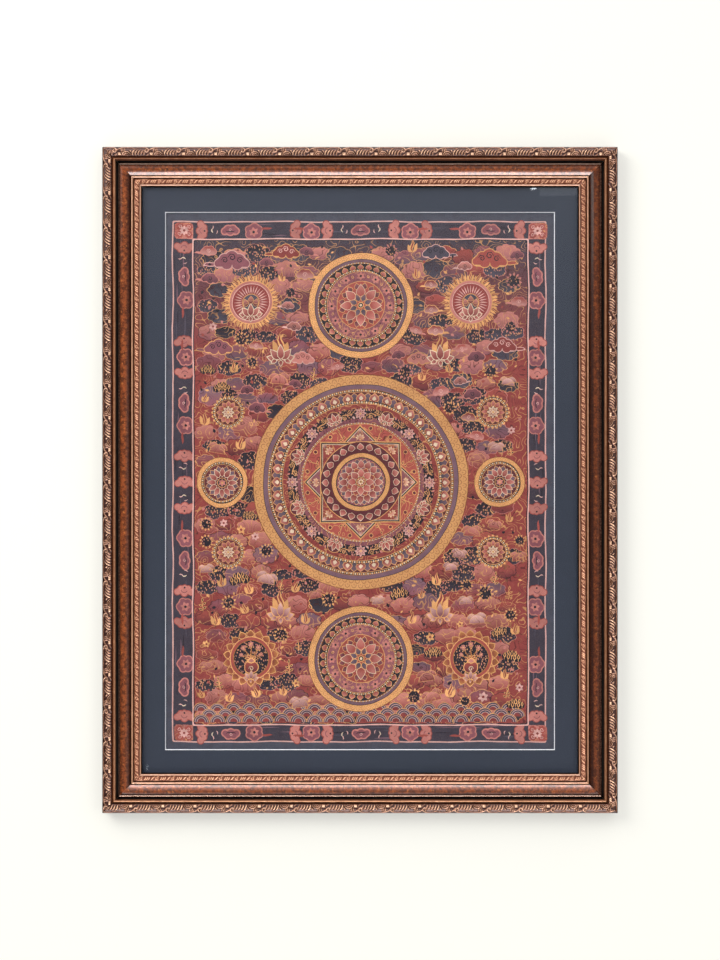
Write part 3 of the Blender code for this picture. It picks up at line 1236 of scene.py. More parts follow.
def disc(radius: float, centre: Point = (0.0, 0.0), fine: float = 0.13) -> np.ndarray:
    """A round outline.

    Args:
        radius: its radius.
        centre: its middle.
        fine: how far its sides may miss the true circle.

    Returns:
        The outline.
    """
    count = max(round(2 * pi * radius / sqrt(8 * radius * fine)), 7)
    turn = np.arange(count) * 2 * pi / count
    return np.stack((centre[0] + radius * np.cos(turn), centre[1] + radius * np.sin(turn)), 1)


def lobed(radius: float, lobes: int, bulge: float = 0.22, steps: int = 4,
          squash: float = 1.0) -> np.ndarray:
    """A scalloped outline.

    Args:
        radius: from the middle to the tops of the lobes.
        lobes: how many there are.
        bulge: how deep the nicks between them are, as a share of the radius.
        steps: how many points each lobe has.
        squash: its height over its width.

    Returns:
        The outline.
    """
    turn = np.arange(lobes * steps) * 2 * pi / (lobes * steps)
    reach = radius * (1 - bulge + bulge * np.abs(np.sin(turn * lobes / 2)) ** 0.7)
    return np.stack((reach * np.cos(turn), squash * reach * np.sin(turn)), 1)


def merged(lobes: tuple[tuple[float, float, float], ...], grow: float = 0.0,
           points: int = 30) -> np.ndarray:
    """The outline round several discs that all see the shape's middle.

    Args:
        lobes: the discs, each as (across, up, radius).
        grow: how much wider every disc becomes.
        points: how many points the outline has.

    Returns:
        The outline.
    """
    discs = np.array(lobes)
    middle = discs[:, :2].mean(0)
    turn = np.arange(points) * 2 * pi / points
    way = np.stack((np.cos(turn), np.sin(turn)), 1)
    offset = discs[:, :2] - middle
    along = way @ offset.T
    root = along ** 2 - (offset ** 2).sum(1) + (discs[:, 2] + grow) ** 2
    reach = np.where(root > 0, along + np.sqrt(np.maximum(root, 0)), 0).max(1)
    return middle + way * np.maximum(reach, 1.0)[:, None]


def petal(length: float, width: float, foot: float = 0.0, steps: int = 0,
          full: float = 0.72) -> np.ndarray:
    """A pointed petal or leaf that stands on the origin.

    Args:
        length: from its foot to its tip.
        width: its greatest width.
        foot: how far above the origin it starts.
        steps: how many points each side has, or 0 to suit its length.
        full: below 1 it is fullest under its middle, above 1 over it.

    Returns:
        The outline.
    """
    share = np.linspace(0, 1, (steps or (3 if length < 7 else 4 if length < 13 else 5)) + 1)
    half = width / 2 * np.sin(pi * share ** full) ** 0.9
    right = np.stack((half, foot + length * share), 1)
    left = np.stack((-half[1:-1], foot + length * share[1:-1]), 1)[::-1]
    return np.concatenate((right, left))


def brush(knots: tuple[Point, ...], thick: float, steps: int = 5, blunt: float = 0.2
          ) -> np.ndarray:
    """One stroke of a pointed brush along the Bezier curve of the knots.

    Args:
        knots: the curve's knots.
        thick: the greatest width of the stroke.
        steps: how many pieces it is drawn in.
        blunt: the width of its ends as a share of the greatest.

    Returns:
        The outline.
    """
    share = np.linspace(0, 1, steps + 1)[:, None]
    rows = [np.array(knot, float)[None, :] for knot in knots]
    while len(rows) > 1:
        rows = [(1 - share) * a + share * b for a, b in zip(rows, rows[1:])]
    path = rows[0]
    way = np.gradient(path, axis=0)
    way /= np.maximum(np.hypot(way[:, :1], way[:, 1:]), 1e-6)
    half = thick / 2 * (blunt + (1 - blunt) * np.sin(pi * share) ** 0.6)
    aside = np.concatenate((-way[:, 1:], way[:, :1]), 1) * half
    return np.concatenate((path - aside, (path + aside)[::-1]))


def scroll(radius: float, turns: float, thick: float, steps: int = 8) -> np.ndarray:
    """A spiral stroke that winds in from its rim at the right, round the origin."""
    share = np.linspace(0, 1, steps + 1)[:, None]
    angle = share * turns * 2 * pi
    reach = radius * (1 - 0.82 * share)
    half = thick / 2 * (0.35 + 0.65 * np.sin(pi * np.clip(share, 0.02, 0.98)) ** 0.5)
    way = np.concatenate((np.cos(angle), np.sin(angle)), 1)
    return np.concatenate(((reach + half) * way, ((reach - half) * way)[::-1]))


def arc_line(radius: float, start: float, end: float, thick: float, centre: Point = (0.0, 0.0),
             steps: int = 4) -> np.ndarray:
    """A line of even width along part of a circle, from one angle to another in degrees."""
    angle = np.radians(np.linspace(start, end, steps + 1))[:, None]
    way = np.concatenate((np.cos(angle), np.sin(angle)), 1)
    rim, inside = (radius + thick / 2) * way, (radius - thick / 2) * way
    return np.concatenate((rim, inside[::-1])) + np.array(centre)


def rings(*bands: tuple) -> Motif:
    """Discs on one another, the widest first.

    Args:
        bands: each disc as its radius and pigment and, where it has an ornament round it, the
            ornament, the width of its band and how many repeats fill the band.

    Returns:
        The patches.
    """
    made = []
    for radius, pigment, *extra in bands:
        ornament, width, repeats = extra or (Ornament.PLAIN, 1.0, 1)
        made.append(Patch(disc(radius), pigment, ornament=ornament,
                          band=(radius - width, width, float(repeats))))
    return made


def around(motif: Motif, count: int, radius: float, phase: float = 0.0) -> Motif:
    """Sets copies of a motif round a circle, each with its top outwards.

    Args:
        motif: the motif, with its foot on the origin.
        count: how many copies.
        radius: how far from the middle their feet are.
        phase: where the first one stands, in copies.

    Returns:
        All the copies.
    """
    ring: Motif = []
    for copy in range(count):
        angle = 360 * (copy + phase) / count
        spot = (-radius * sin(radians(angle)), radius * cos(radians(angle)))
        ring += placed(motif, spot, angle)
    return ring


def edged_petal(length: float, width: float, rim: Pigment, inside: Pigment,
                tip: Pigment | None = None, line: float = 0.7, heart: Pigment | None = None
                ) -> Motif:
    """A petal with a painted edge.

    Args:
        length: from its foot to its tip.
        width: its greatest width.
        rim: the edge's pigment.
        inside: the pigment at its foot.
        tip: the pigment at its tip.
        line: the width of the edge.
        heart: the pigment of a small tongue in its middle.

    Returns:
        The patches.
    """
    run = np.array(((0.0, 0.15 * length), (0.0, 0.85 * length)))
    core = petal(length - 2.6 * line, width - 2 * line, line)
    patches = [Patch(petal(length, width), rim), Patch(core, inside, tip, run)]
    if heart:
        patches.append(Patch(petal(0.5 * length, 0.42 * width, 0.16 * length, 3), heart))
    return patches


def flame(height: float, rim: Pigment = Pigment.GOLD, inside: Pigment = Pigment.BRICK) -> Motif:
    """Three licks of flame that lean over."""
    h = height
    tongues = (((0, 0), (-0.34 * h, 0.4 * h), (0.22 * h, 0.55 * h), (0.02 * h, h)),
               ((0.02 * h, 0), (0.36 * h, 0.15 * h), (0.16 * h, 0.42 * h), (0.36 * h, 0.66 * h)),
               ((0, 0), (-0.36 * h, 0.1 * h), (-0.2 * h, 0.38 * h), (-0.34 * h, 0.58 * h)))
    patches = [Patch(brush(knots, 0.27 * h, 4, 0.12), rim) for knots in tongues]
    return [*patches, Patch(brush(tongues[0], 0.12 * h, 4, 0.1), inside)]


def cloudlet(rim: Pigment, inside: Pigment, curl: Pigment) -> Motif:
    """A small cloud 24 mm wide with a tail and a curl in it."""
    puffs = ((-7, -1, 4.2), (-2.5, 2.4, 4.6), (3.5, 2.2, 4.4), (7.5, -1.2, 3.8), (0, -2, 4.4))
    return [Patch(brush(((5, -2), (12, -5), (16, -1), (20, -4)), 3.2, 4, 0.1), rim),
            Patch(merged(puffs, 0.9, 24), rim),
            Patch(merged(puffs, 0, 24), inside, curl, np.array(((0, 5.0), (0, -11.0)))),
            Patch(scroll(3.4, 1.35, 1.0), curl)]


def sprig(pairs: int, rim: Pigment, inside: Pigment, stem: Pigment) -> Motif:
    """A stem 18 mm tall with pairs of edged leaves and one at its top."""
    patches = [Patch(brush(((0, -9), (2.2, -3), (-2.0, 3), (0, 7)), 1.3, 4, 0.5), stem)]
    blade = [Patch(petal(6.8, 3.6), rim), Patch(petal(4.8, 1.8, 0.8), inside)]
    for pair in range(pairs):
        foot = -6.5 + 12.0 * pair / pairs
        for side in (1, -1):
            patches += placed(blade, (0.2 * side, foot + side), -side * 58, 1.0 - 0.09 * pair)
    return patches + placed(blade, (0, 5))


def blossom(petals: int, rim: Pigment, inside: Pigment, eye: Pigment) -> Motif:
    """An open flower 20 mm wide."""
    leaf = edged_petal(8.6, 26 / petals + 1.4, rim, inside, rim, 0.7)
    return [*around(leaf, petals, 1.2), Patch(disc(2.5), rim), Patch(disc(1.7), eye)]


def floret(petals: int, leaf: Pigment, eye: Pigment) -> Motif:
    """A plain flower 14 mm wide."""
    return [*around([Patch(petal(6.2, 4.6, 0, 3), leaf)], petals, 0.8), Patch(disc(1.9), eye)]


def lotus(width: float, rim: Pigment, inside: Pigment, tip: Pigment) -> Motif:
    """A lotus from the side, with its foot at the origin."""
    w = width
    patches: Motif = []
    for lean, reach in ((74, 0.50), (-74, 0.50), (40, 0.58), (-40, 0.58), (0, 0.64)):
        patches += placed(edged_petal(reach * w, 0.32 * w, rim, inside, tip, 0.033 * w),
                          (-0.10 * w * lean / 78, 0.04 * w), lean)
    for lean in (60, -60, 0):
        patches += placed(edged_petal(0.30 * w, 0.20 * w, rim, inside, tip, 0.03 * w),
                          (-0.16 * w * lean / 62, 0.05 * w), 180 - lean)
    return patches


def bush(tips: Pigment) -> Motif:
    """A dark bush 24 mm wide, full of small leaves, with bright tips all round."""
    crown = [Patch(petal(5.0, 3.0, 0.0, 3), tips)]
    return [*around(crown, 11, 7.2), Patch(lobed(8.6, 8, 0.16, 3), Pigment.INK,
                                           ornament=Ornament.LEAVES)]


def grove(leaf: Pigment, inside: Pigment) -> Motif:
    """A row of trees like spear heads, 28 mm wide."""
    tree = [Patch(brush(((0, -6), (0, 0)), 1.0, 2, 0.7), leaf), Patch(petal(10, 5.2, -2), leaf),
            Patch(petal(7.0, 2.8, -0.6, 3), inside)]
    made: Motif = [Patch(merged(((-9, -1, 5), (0, 2, 6.5), (9, -1, 5)), 1.5, 18), Pigment.INK)]
    for across, up, size in ((-6, 4, 0.8), (6, 4, 0.8), (-11, -1, 0.8), (11, -1, 0.8), (0, 2, 1.1),
                             (-5, -3, 0.95), (5, -3, 0.95)):
        made += placed(tree, (across, up), 0, size)
    return made


def rocks(top: Pigment, side: Pigment) -> Motif:
    """Three layered hills, 26 mm wide."""
    made: Motif = []
    for across, up, width in ((-6, 2, 15), (7, 1, 14), (0, -3, 22)):
        hill = np.array(((-0.5, -0.25), (0.5, -0.25), (0.44, 0.05), (0.22, 0.25), (0.02, 0.32),
                         (-0.24, 0.22), (-0.46, 0.02)))
        made += [Patch(hill * (width + 1.6) + (across, up), Pigment.GOLD),
                 Patch(hill * width + (across, up), top, side,
                       np.array(((0, up + 0.2 * width), (0, up - 0.3 * width))),
                       Ornament.TRACERY)]
    return made


def knot_scroll(stroke: Pigment) -> Motif:
    """Two spirals back to back on a curved stem, 20 mm wide."""
    one = [Patch(scroll(4.4, 1.4, 1.2), stroke)]
    return [*placed(one, (-5.2, 0), 0, 1, True), *placed(one, (5.2, 0)),
            Patch(petal(7.5, 3.0, 1.6, 3), stroke)]


def jewel(rim: Pigment, inside: Pigment, tip: Pigment) -> Motif:
    """A drop shaped jewel 16 mm tall with a band across it."""
    return [*edged_petal(16, 11.5, rim, inside, tip, 0.8),
            Patch(arc_line(9.0, 245, 295, 0.7, (0, 14.6), 3), rim)]


def wave_band(radius: float, width: float, pitch: float = 8.4) -> Motif:
    """A gilded ring with rows of waves, as on the rim of any such roundel.

    Args:
        radius: its outer radius.
        width: its width.
        pitch: the width of one wave.

    Returns:
        The patches, over a whole disc of the rim's gold.
    """
    return rings((radius + 0.8, Pigment.UMBER),
                 (radius, Pigment.GOLD, Ornament.WAVES, width, round(2 * pi * radius / pitch)),
                 (radius - width, Pigment.INK))


def bead_ring(radius: float, width: float, ground: Pigment) -> Motif:
    """A dark ring of beads, cream and gold by turns, that covers what lies within it."""
    return rings((radius, ground, Ornament.BEADS, width,
                  2 * round(pi * (radius - width / 2) / width)))


@dataclass
class Painting:
    """The painted design: roundels of lotus petals among clouds, flames and flowers.

    Places are in millimetres from the middle of the cloth, across and up.
    """

    outer: tuple[float, float, float, float] = (-301.0, -418.7, 298.3, 416.4)
    inner: tuple[float, float, float, float] = (-266.4, -389.8, 268.8, 386.5)
    line: float = 2.1
    heart: Point = (1.0, -2.0)
    great: float = 172.0
    seed: int = 27
    patches: Motif = field(default_factory=list)
    taken: list[tuple[float, float, float]] = field(default_factory=list)

    def lay(self, motif: Motif, spot: Point, turn: float = 0.0, size: float = 1.0,
            flip: bool = False) -> None:
        """Paints a motif over what is there, at a spot, turned, sized and perhaps mirrored."""
        self.patches += placed(motif, spot, turn, size, flip)

    def block(self, sides: tuple[float, float, float, float], grow: float, pigment: Pigment,
              tip: Pigment | None = None, ornament: Ornament = Ornament.PLAIN) -> None:
        """Fills a rectangle with slightly rounded corners."""
        left, bottom, right, top = sides
        left, bottom, right, top = left - grow, bottom - grow, right + grow, top + grow
        cut = 1.6
        outline = np.array(((left + cut, bottom), (right - cut, bottom), (right, bottom + cut),
                            (right, top - cut), (right - cut, top), (left + cut, top),
                            (left, top - cut), (left, bottom + cut)))
        run = np.array(((0.0, top), (0.0, top * 0.5)))
        self.patches.append(Patch(outline, pigment, tip, run, ornament))

    def grounds(self, half: Point) -> None:
        """Lays the margin, the two ruled lines, the border's ground and the field's.

        Args:
            half: half the width and height of the cloth.
        """
        sheet = np.array(((-1, -1), (1, -1), (1, 1), (-1, 1))) * (np.array(half) + 5)
        self.patches.append(Patch(sheet, Pigment.MARGIN))
        self.block(self.outer, 0.0, Pigment.ROSE)
        self.block(self.outer, -self.line, Pigment.CHARCOAL)
        self.streaks()
        self.border()
        self.block(self.inner, self.line, Pigment.ROSE)
        self.block(self.inner, 0.0, Pigment.INK)
        self.block(self.inner, -1.6, Pigment.CHARCOAL, Pigment.BRICK, Ornament.TRACERY)

    def streaks(self) -> None:
        """Brushes faint grey and plum streaks along the border's ground."""
        chance = random.Random(self.seed)
        left, bottom, right, top = self.outer
        for _ in range(110):
            length, lift = chance.uniform(18, 50), chance.uniform(5, 26)
            side = chance.randrange(4)
            if side % 2:
                spot = (right - lift if side == 1 else left + lift,
                        chance.uniform(bottom + 40, top - 40))
            else:
                spot = (chance.uniform(left + 40, right - 40),
                        top - lift if side else bottom + lift)
            stroke = brush(((-length / 2, 0), (0, chance.uniform(-1.5, 1.5)), (length / 2, 0)),
                           chance.uniform(1.0, 2.2), 3, 0.1)
            pigment = chance.choice((Pigment.SLATE, Pigment.INK, Pigment.MAUVE))
            self.lay([Patch(stroke, pigment)], spot, 90 if side % 2 else 0)

    def edged(self, lobes: tuple[tuple[float, float, float], ...], grow: float, rim: Pigment,
              inside: Pigment, points: int = 30) -> Motif:
        """One rounded shape with an edge all round it."""
        return [Patch(merged(lobes, grow, points), rim), Patch(merged(lobes, 0, points), inside)]

    def border(self) -> None:
        """Sets the border's clouds, collars, sprigs and flowers along its four sides."""
        P = Pigment
        collar = self.edged(((-2, 3.6, 5), (3.5, 8.5, 4.2), (5.4, 14.6, 3.4), (3.5, 20.7, 4.2),
                             (-2, 25.6, 5), (-4, 14.6, 5)), 1.3, P.RUST, P.SALMON, 34)
        collar += [Patch(disc(1.5, (4.6, 14.6)), P.INK),
                   Patch(arc_line(5.0, 100, 250, 1.2, (1.6, 15)), P.PLUM)]
        boat = self.edged(((-9, 14, 4.4), (-4, 17, 5.4), (4, 17, 5.4), (9, 14, 4.4), (0, 14, 6)),
                          2.2, P.SALMON, P.PLUM, 26)
        boat += [Patch(brush(((-8, 15), (-4, 10), (0, 17), (4, 10), (8, 15)), 1.7, 7), P.INK),
                 *placed([Patch(scroll(2.8, 1.2, 1.0), P.ROSE)], (0, 15.5))]
        flower = self.edged(((-7, 9, 5.5), (6, 9, 5.5), (-8, 16.5, 5), (7, 16.5, 5), (0, 20, 6),
                             (0, 5, 5)), 1.8, P.SALMON, P.PLUM, 28)
        flower += placed(floret(6, P.SALMON, P.INK), (-0.5, 12.5), 10, 1.15)
        flower += [Patch(brush(((10, 17), (17, 20), (22, 16), (29, 18)), 3.6, 5, 0.1), P.RUST)]
        commas = [Patch(brush(((-1, 17), (3, 21), (1, 24)), 1.8, 3), P.ROSE),
                  Patch(brush(((1, 12), (-3, 16), (0, 19)), 2.0, 3), P.CREAM),
                  Patch(brush(((6, 10), (9, 12), (8, 16)), 1.6, 3), P.ROSE)]
        left, bottom, right, top = self.inner
        across, up = (left + right) / 2, (bottom + top) / 2
        plan = [(13, collar, False), (30, commas, False), (59, boat, False), (97, flower, False),
                (163, collar, True), (188, flower, True), (214, collar, False),
                (238, commas, False)]
        longer = [(262, boat, False), (298, flower, False), (346, collar, True),
                  (366, commas, True)]
        for turn, spot, reach in ((0, (across, top), (right - left) / 2),
                                  (90, (left, up), (top - bottom) / 2),
                                  (180, (across, bottom), (right - left) / 2),
                                  (270, (right, up), (top - bottom) / 2)):
            for far, motif, flip in plan + (longer if turn % 180 else []):
                made = placed(placed(motif, (0, 0), 0, 1, flip), (far - reach, 0.0))
                for mirrored in (False, True):
                    self.lay(placed(made, (0, 0), 0, 1, mirrored), spot, turn)
            self.lay(boat if turn % 180 == 0 else collar, spot, turn)
        leaf = [Patch(lobed(6.2, 7, 0.2, 3), P.RUST), Patch(scroll(3.6, 1.3, 1.1), P.ROSE)]
        fan = [Patch(np.array(((1, 1), (28, 1), (31, 5), (31, 24), (27, 27), (5, 27), (1, 24))),
                     P.SALMON, P.RUST, np.array(((6, 6), (28, 28))), Ornament.TRACERY)]
        for spot in ((8, 8), (23, 8), (8, 20), (22, 20)):
            fan += placed(leaf, spot)
        fan += placed(floret(8, P.ROSE, P.BRICK), (15.5, 14.5), 0, 1.1)
        for spot, flip, turn in (((right, top), False, 0), ((left, top), True, 0),
                                 ((left, bottom), False, 180), ((right, bottom), True, 180)):
            self.lay(fan, spot, turn, 1.0, flip)

    def washes(self) -> None:
        """Floods the field's ground with scalloped banks of red, salmon, plum and dark leaves."""
        chance = random.Random(self.seed + 1)
        left, bottom, right, top = self.inner
        P = Pigment
        low = [(P.SALMON, P.BRICK)] * 6 + [(P.RUST, P.MAROON)] * 4 + [(P.MAUVE, P.PLUM)] * 2 \
            + [(P.PLUM, P.BRICK)] * 3 + [(P.INK, P.CHARCOAL)] * 6
        high = [(P.CHARCOAL, P.SLATE)] * 4 + [(P.SALMON, P.PLUM)] * 3 + [(P.INK, P.CHARCOAL)] * 2 \
            + [(P.PLUM, P.SLATE)] * 2 + [(P.RUST, P.MAROON)] * 2
        pitch = 33.0
        for row in range(int((top - bottom - 16) / pitch * 1.3), -1, -1):
            for column in range(int((right - left - 20) / pitch) + 1):
                spot = (left + 21 + pitch * (column + 0.5 * (row % 2)) + chance.uniform(-6, 6),
                        bottom + 15 + pitch / 1.3 * row + chance.uniform(-5, 5))
                radius, squash = chance.uniform(17, 22), chance.uniform(0.5, 0.8)
                share = (spot[1] - bottom) / (top - bottom) + chance.uniform(-0.12, 0.12)
                pigment, tip = chance.choice(high if share > 0.72 else low)
                lobes, edge = chance.randint(6, 9), chance.random()
                if spot[0] > right - 21 or spot[1] > top - 14 or self.crowded(spot, -6.0):
                    continue
                spot = (max(spot[0], left + 1.1 * radius), max(spot[1], bottom + radius * squash))
                shape = lobed(radius, lobes, 0.14, 3, squash)
                dark = pigment in (P.INK, P.CHARCOAL)
                run = np.array(((0.0, radius * 0.6 * squash), (0.0, -radius * squash)))
                rim = P.GOLD if edge < 0.3 else P.INK if edge < 0.6 and not dark else P.SALMON
                self.lay([Patch(shape * (1 + 1.0 / radius), rim),
                          Patch(shape, pigment, tip, run, Ornament.LEAVES
                                if dark and edge > 0.25 else Ornament.TRACERY)], spot)

    def crowded(self, spot: Point, room: float) -> bool:
        """Whether a spot lies closer than the given room to what is set aside."""
        return any(hypot(spot[0] - across, spot[1] - up) < reach + room
                   for across, up, reach in self.taken)

    def great_roundel(self) -> None:
        """The large roundel: waves, petals, a garden ring, a star and a lotus."""
        P, radius = Pigment, self.great
        made = [*wave_band(radius, 15.0, 11.0), *rings((radius - 15.8, P.MAUVE),
                                                       (radius - 22.4, P.OCHRE))]
        made += bead_ring(radius - 23.2, 3.4, P.INK)
        made += rings((radius - 26.6, P.GOLD), (radius - 27.4, P.MAROON))
        for first, pigments in ((0.5, (P.SLATE, P.MAUVE)), (0.0, (P.BRICK, P.SALMON))):
            made += around(edged_petal(15.5, 16.5, P.GOLD, *pigments, 0.8,
                                       P.CREAM if first == 0 else None), 40, radius - 43.5, first)
        made += bead_ring(radius - 42, 3.8, P.INK)
        middle = radius - 62
        made += rings((radius - 45.8, P.GOLD), (radius - 46.6, P.BRICK, Ornament.TRACERY, 30, 1),
                      (middle + 8, P.INK, Ornament.LEAVES, 30, 1),
                      (middle - 8, P.PLUM, Ornament.TRACERY, 30, 1))
        vine = [Patch(brush(((-11, -5), (-5, 9), (5, -9), (11, 5)), 1.5, 6), P.GOLD),
                *placed([Patch(scroll(3.6, 1.3, 1.1), P.GOLD)], (-4.5, -5)),
                *placed([Patch(scroll(3.6, 1.3, 1.1), P.GOLD)], (4.5, 5), 180),
                *placed([Patch(petal(6, 3.4), P.SALMON)], (-8, 4), 40),
                *placed([Patch(petal(6, 3.4), P.ROSE)], (8, -4), 220)]
        made += around(vine, 16, middle, 0.5)
        made += around(blossom(8, P.ROSE, P.BRICK, P.GOLD), 8, middle)
        bloom = lotus(24, P.CREAM, P.RUST, P.SALMON)
        made += around(rings((11.4, P.GOLD), (10.5, P.MAROON)), 8, middle, 0.5)
        made += around(placed(bloom, (0, -7)), 8, middle, 0.5)
        inside = radius - 76
        made += bead_ring(inside, 2.6, P.MAROON)
        made += rings((inside - 2.6, P.GOLD), (inside - 3.4, P.RUST, Ornament.TRACERY, 1, 1))
        self.lay([*made, *self.star(inside - 4), *self.heart_lotus(46.0)], self.heart)

    def star(self, reach: float) -> Motif:
        """Two squares laid crosswise as an eight-pointed star, each with a gilded edge.

        Args:
            reach: from the middle to the star's points.

        Returns:
            The patches.
        """
        P = Pigment
        shrine = [*lotus(15, P.GOLD, P.SALMON, P.CREAM),
                  *placed(edged_petal(16, 11, P.GOLD, P.MAROON, P.ROSE, 0.9), (0, 8), 0, 0.6)]
        made = around(sprig(1, P.GOLD, P.MAROON, P.GOLD), 8, reach - 12, 0.5)
        made += around(rings((3.6, P.GOLD), (2.5, P.MAROON)), 16, reach - 5, 0.5)
        for turn in (0, 45):
            for size, pigment in ((1.0, P.GOLD), (0.972, P.INK), (0.945, P.CREAM),
                                  (0.93, P.BRICK if turn else P.PLUM)):
                corners = np.array(((1, 0), (0, 1), (-1, 0), (0, -1))) * reach * size
                made += placed([Patch(corners, pigment, ornament=Ornament.TRACERY
                                      if size < 0.94 else Ornament.PLAIN)], (0, 0), turn)
        core = reach * 0.715
        made += rings((core - 0.5, P.GOLD), (core - 1.6, P.MAROON))
        made += around(placed(shrine, (0, -4), 0, 0.9), 8, reach * 0.80)
        return made + around(edged_petal(12, 12, P.CREAM, P.BRICK, P.SALMON, 0.7), 24, core - 15)

    def heart_lotus(self, radius: float) -> Motif:
        """The lotus at the middle: a wave ring, four rings of petals and an eight-spoked wheel.

        Args:
            radius: its outer radius.

        Returns:
            The patches.
        """
        P, inside = Pigment, radius - 8
        made = [*wave_band(radius, 6.5, 8.0), *rings((inside, P.PLUM))]
        for count, foot, length, width, rim, low, tip, phase in (
                (16, inside - 15, 15, 12.5, P.GOLD, P.SLATE, P.MAUVE, 0.5),
                (16, inside - 17, 15, 12.0, P.CREAM, P.BRICK, P.SALMON, 0.0),
                (8, inside - 30, 16, 14.0, P.GOLD, P.MAROON, P.RUST, 0.5),
                (8, inside - 31, 15, 12.0, P.CREAM, P.RUST, P.SALMON, 0.0)):
            made += around(edged_petal(length, width, rim, low, tip, 0.7), count, foot, phase)
        made += rings((8.4, P.INK), (7.6, P.GOLD), (6.2, P.BRICK))
        made += around([Patch(petal(5.4, 1.9, 0.8, 3), P.CREAM)], 8, 0.0)
        return made + rings((2.2, P.GOLD), (1.2, P.INK))

    def roundel(self, radius: float, petals: int) -> Motif:
        """A middling roundel: waves, petals, a ring of rosettes and a lotus.

        Args:
            radius: its outer radius.
            petals: how many petals its outer ring has.

        Returns:
            The patches.
        """
        P = Pigment
        made = [*wave_band(radius, 9.5, 9.0), *rings((radius - 10.3, P.MAUVE)),
                *bead_ring(radius - 14.6, 2.6, P.UMBER), *rings((radius - 17.2, P.INK))]
        made += around(edged_petal(9.4, 10.4, P.GOLD, P.BRICK, P.SALMON, 0.7), petals,
                       radius - 27)
        made += bead_ring(radius - 26, 3.0, P.INK)
        made += rings((radius - 29, P.GOLD), (radius - 29.8, P.PLUM, Ornament.TRACERY, 1, 1))
        made += around(floret(6, P.SALMON, P.INK), 12, radius - 37)
        made += around(placed([Patch(scroll(2.8, 1.2, 1.0), P.GOLD)], (0, 0), 90), 12,
                       radius - 37, 0.5)
        inside = radius - 45
        made += rings((inside, P.GOLD), (inside - 1, P.RUST))
        for count, foot, length, width, rim, low, tip, phase in (
                (16, inside - 14, 12, 10, P.GOLD, P.MAROON, P.PLUM, 0.5),
                (8, inside - 26, 21, 15, P.CREAM, P.RUST, P.SALMON, 0.0),
                (8, inside - 33, 14, 9, P.GOLD, P.SLATE, P.MAUVE, 0.5)):
            made += around(edged_petal(length, width, rim, low, tip, 0.8), count, foot, phase)
        return made + rings((5.2, P.GOLD), (3.9, P.INK), (2.2, P.CREAM))

    def small_roundel(self, radius: float) -> Motif:
        """A small roundel with twelve petals."""
        P = Pigment
        made = [*wave_band(radius, 6.5, 8.0), *bead_ring(radius - 7.2, 3.0, P.INK),
                *rings((radius - 10.4, P.GOLD), (radius - 11.2, P.MAROON))]
        made += around(edged_petal(17, 12, P.GOLD, P.SLATE, P.MAUVE, 0.8), 12, radius - 29, 0.5)
        made += around(edged_petal(16, 9.5, P.CREAM, P.BRICK, P.SALMON, 0.8), 12, radius - 31)
        return [*made, *rings((8, P.GOLD), (7, P.INK)),
                *placed(floret(6, P.SALMON, P.GOLD), (0, 0), 0, 0.9)]

    def jewel_shrine(self) -> Motif:
        """Three jewels on a lotus before a rayed disc with a rim of flames."""
        P = Pigment
        made = around(flame(15), 20, 34.0)
        made += rings((35.5, P.GOLD), (34.2, P.SALMON), (30.5, P.ROSE), (29.4, P.BRICK))
        made += around([Patch(petal(14, 1.8, 0, 3), P.ROSE)], 32, 13.5)
        made += rings((13.8, P.GOLD), (12.6, P.SLATE))
        made += placed(lotus(34, P.CREAM, P.BRICK, P.SALMON), (0, -24))
        for spot, lean in (((-6.5, -7), 14), ((6.5, -7), -14), ((0, -3), 0)):
            made += placed(jewel(P.GOLD, P.MAROON, P.SALMON), spot, lean, 0.85)
        return made

    def flower_vase(self) -> Motif:
        """A round-bellied vase with sprays of flowers before a petalled disc."""
        P = Pigment
        made = around(edged_petal(12, 12, P.GOLD, P.BRICK, P.OCHRE, 1.0), 18, 29.0)
        made += rings((31, P.GOLD), (29.8, P.RUST), (26, P.OCHRE),
                      (25, P.INK, Ornament.LEAVES, 1, 1))
        for lean, size in ((58, 0.86), (-58, 0.86), (30, 1.1), (-30, 1.1), (0, 1.2)):
            spray = placed(sprig(1, P.GOLD, P.BRICK, P.OCHRE), (0, 9))
            spray += placed(floret(6, P.SALMON, P.GOLD), (0, 20), 0, 0.55)
            made += placed(spray, (0, -4), lean, size)
        belly = lobed(11, 3, 0.10, 7, 0.9)
        made += [Patch(belly + np.array((0, -13)), P.GOLD),
                 Patch(belly * 0.88 + np.array((0, -13)), P.RUST, P.MAROON,
                       np.array(((0, -5), (0, -22)))),
                 Patch(petal(9, 13, -8, 4), P.GOLD), Patch(petal(6, 8, -6.6, 3), P.SALMON)]
        made += placed([Patch(scroll(4, 1.3, 1.2), P.CREAM)], (0, -15))
        return made + placed(lotus(26, P.GOLD, P.PLUM, P.ROSE), (0, -31), 0, 0.8)

    def rosette_roundel(self) -> Motif:
        """A roundel 50 mm wide with a double rosette."""
        P = Pigment
        made = around([Patch(petal(6, 5.2, 0, 3), P.GOLD)], 24, 21.5)
        made += [*bead_ring(24, 3.0, P.INK), *rings((20.8, P.GOLD), (20.0, P.MAROON))]
        made += around(edged_petal(11, 8.8, P.GOLD, P.BRICK, P.SALMON, 0.7), 12, 8.0)
        return [*made, *placed(blossom(8, P.CREAM, P.RUST, P.GOLD), (0, 0), 0, 1.05)]

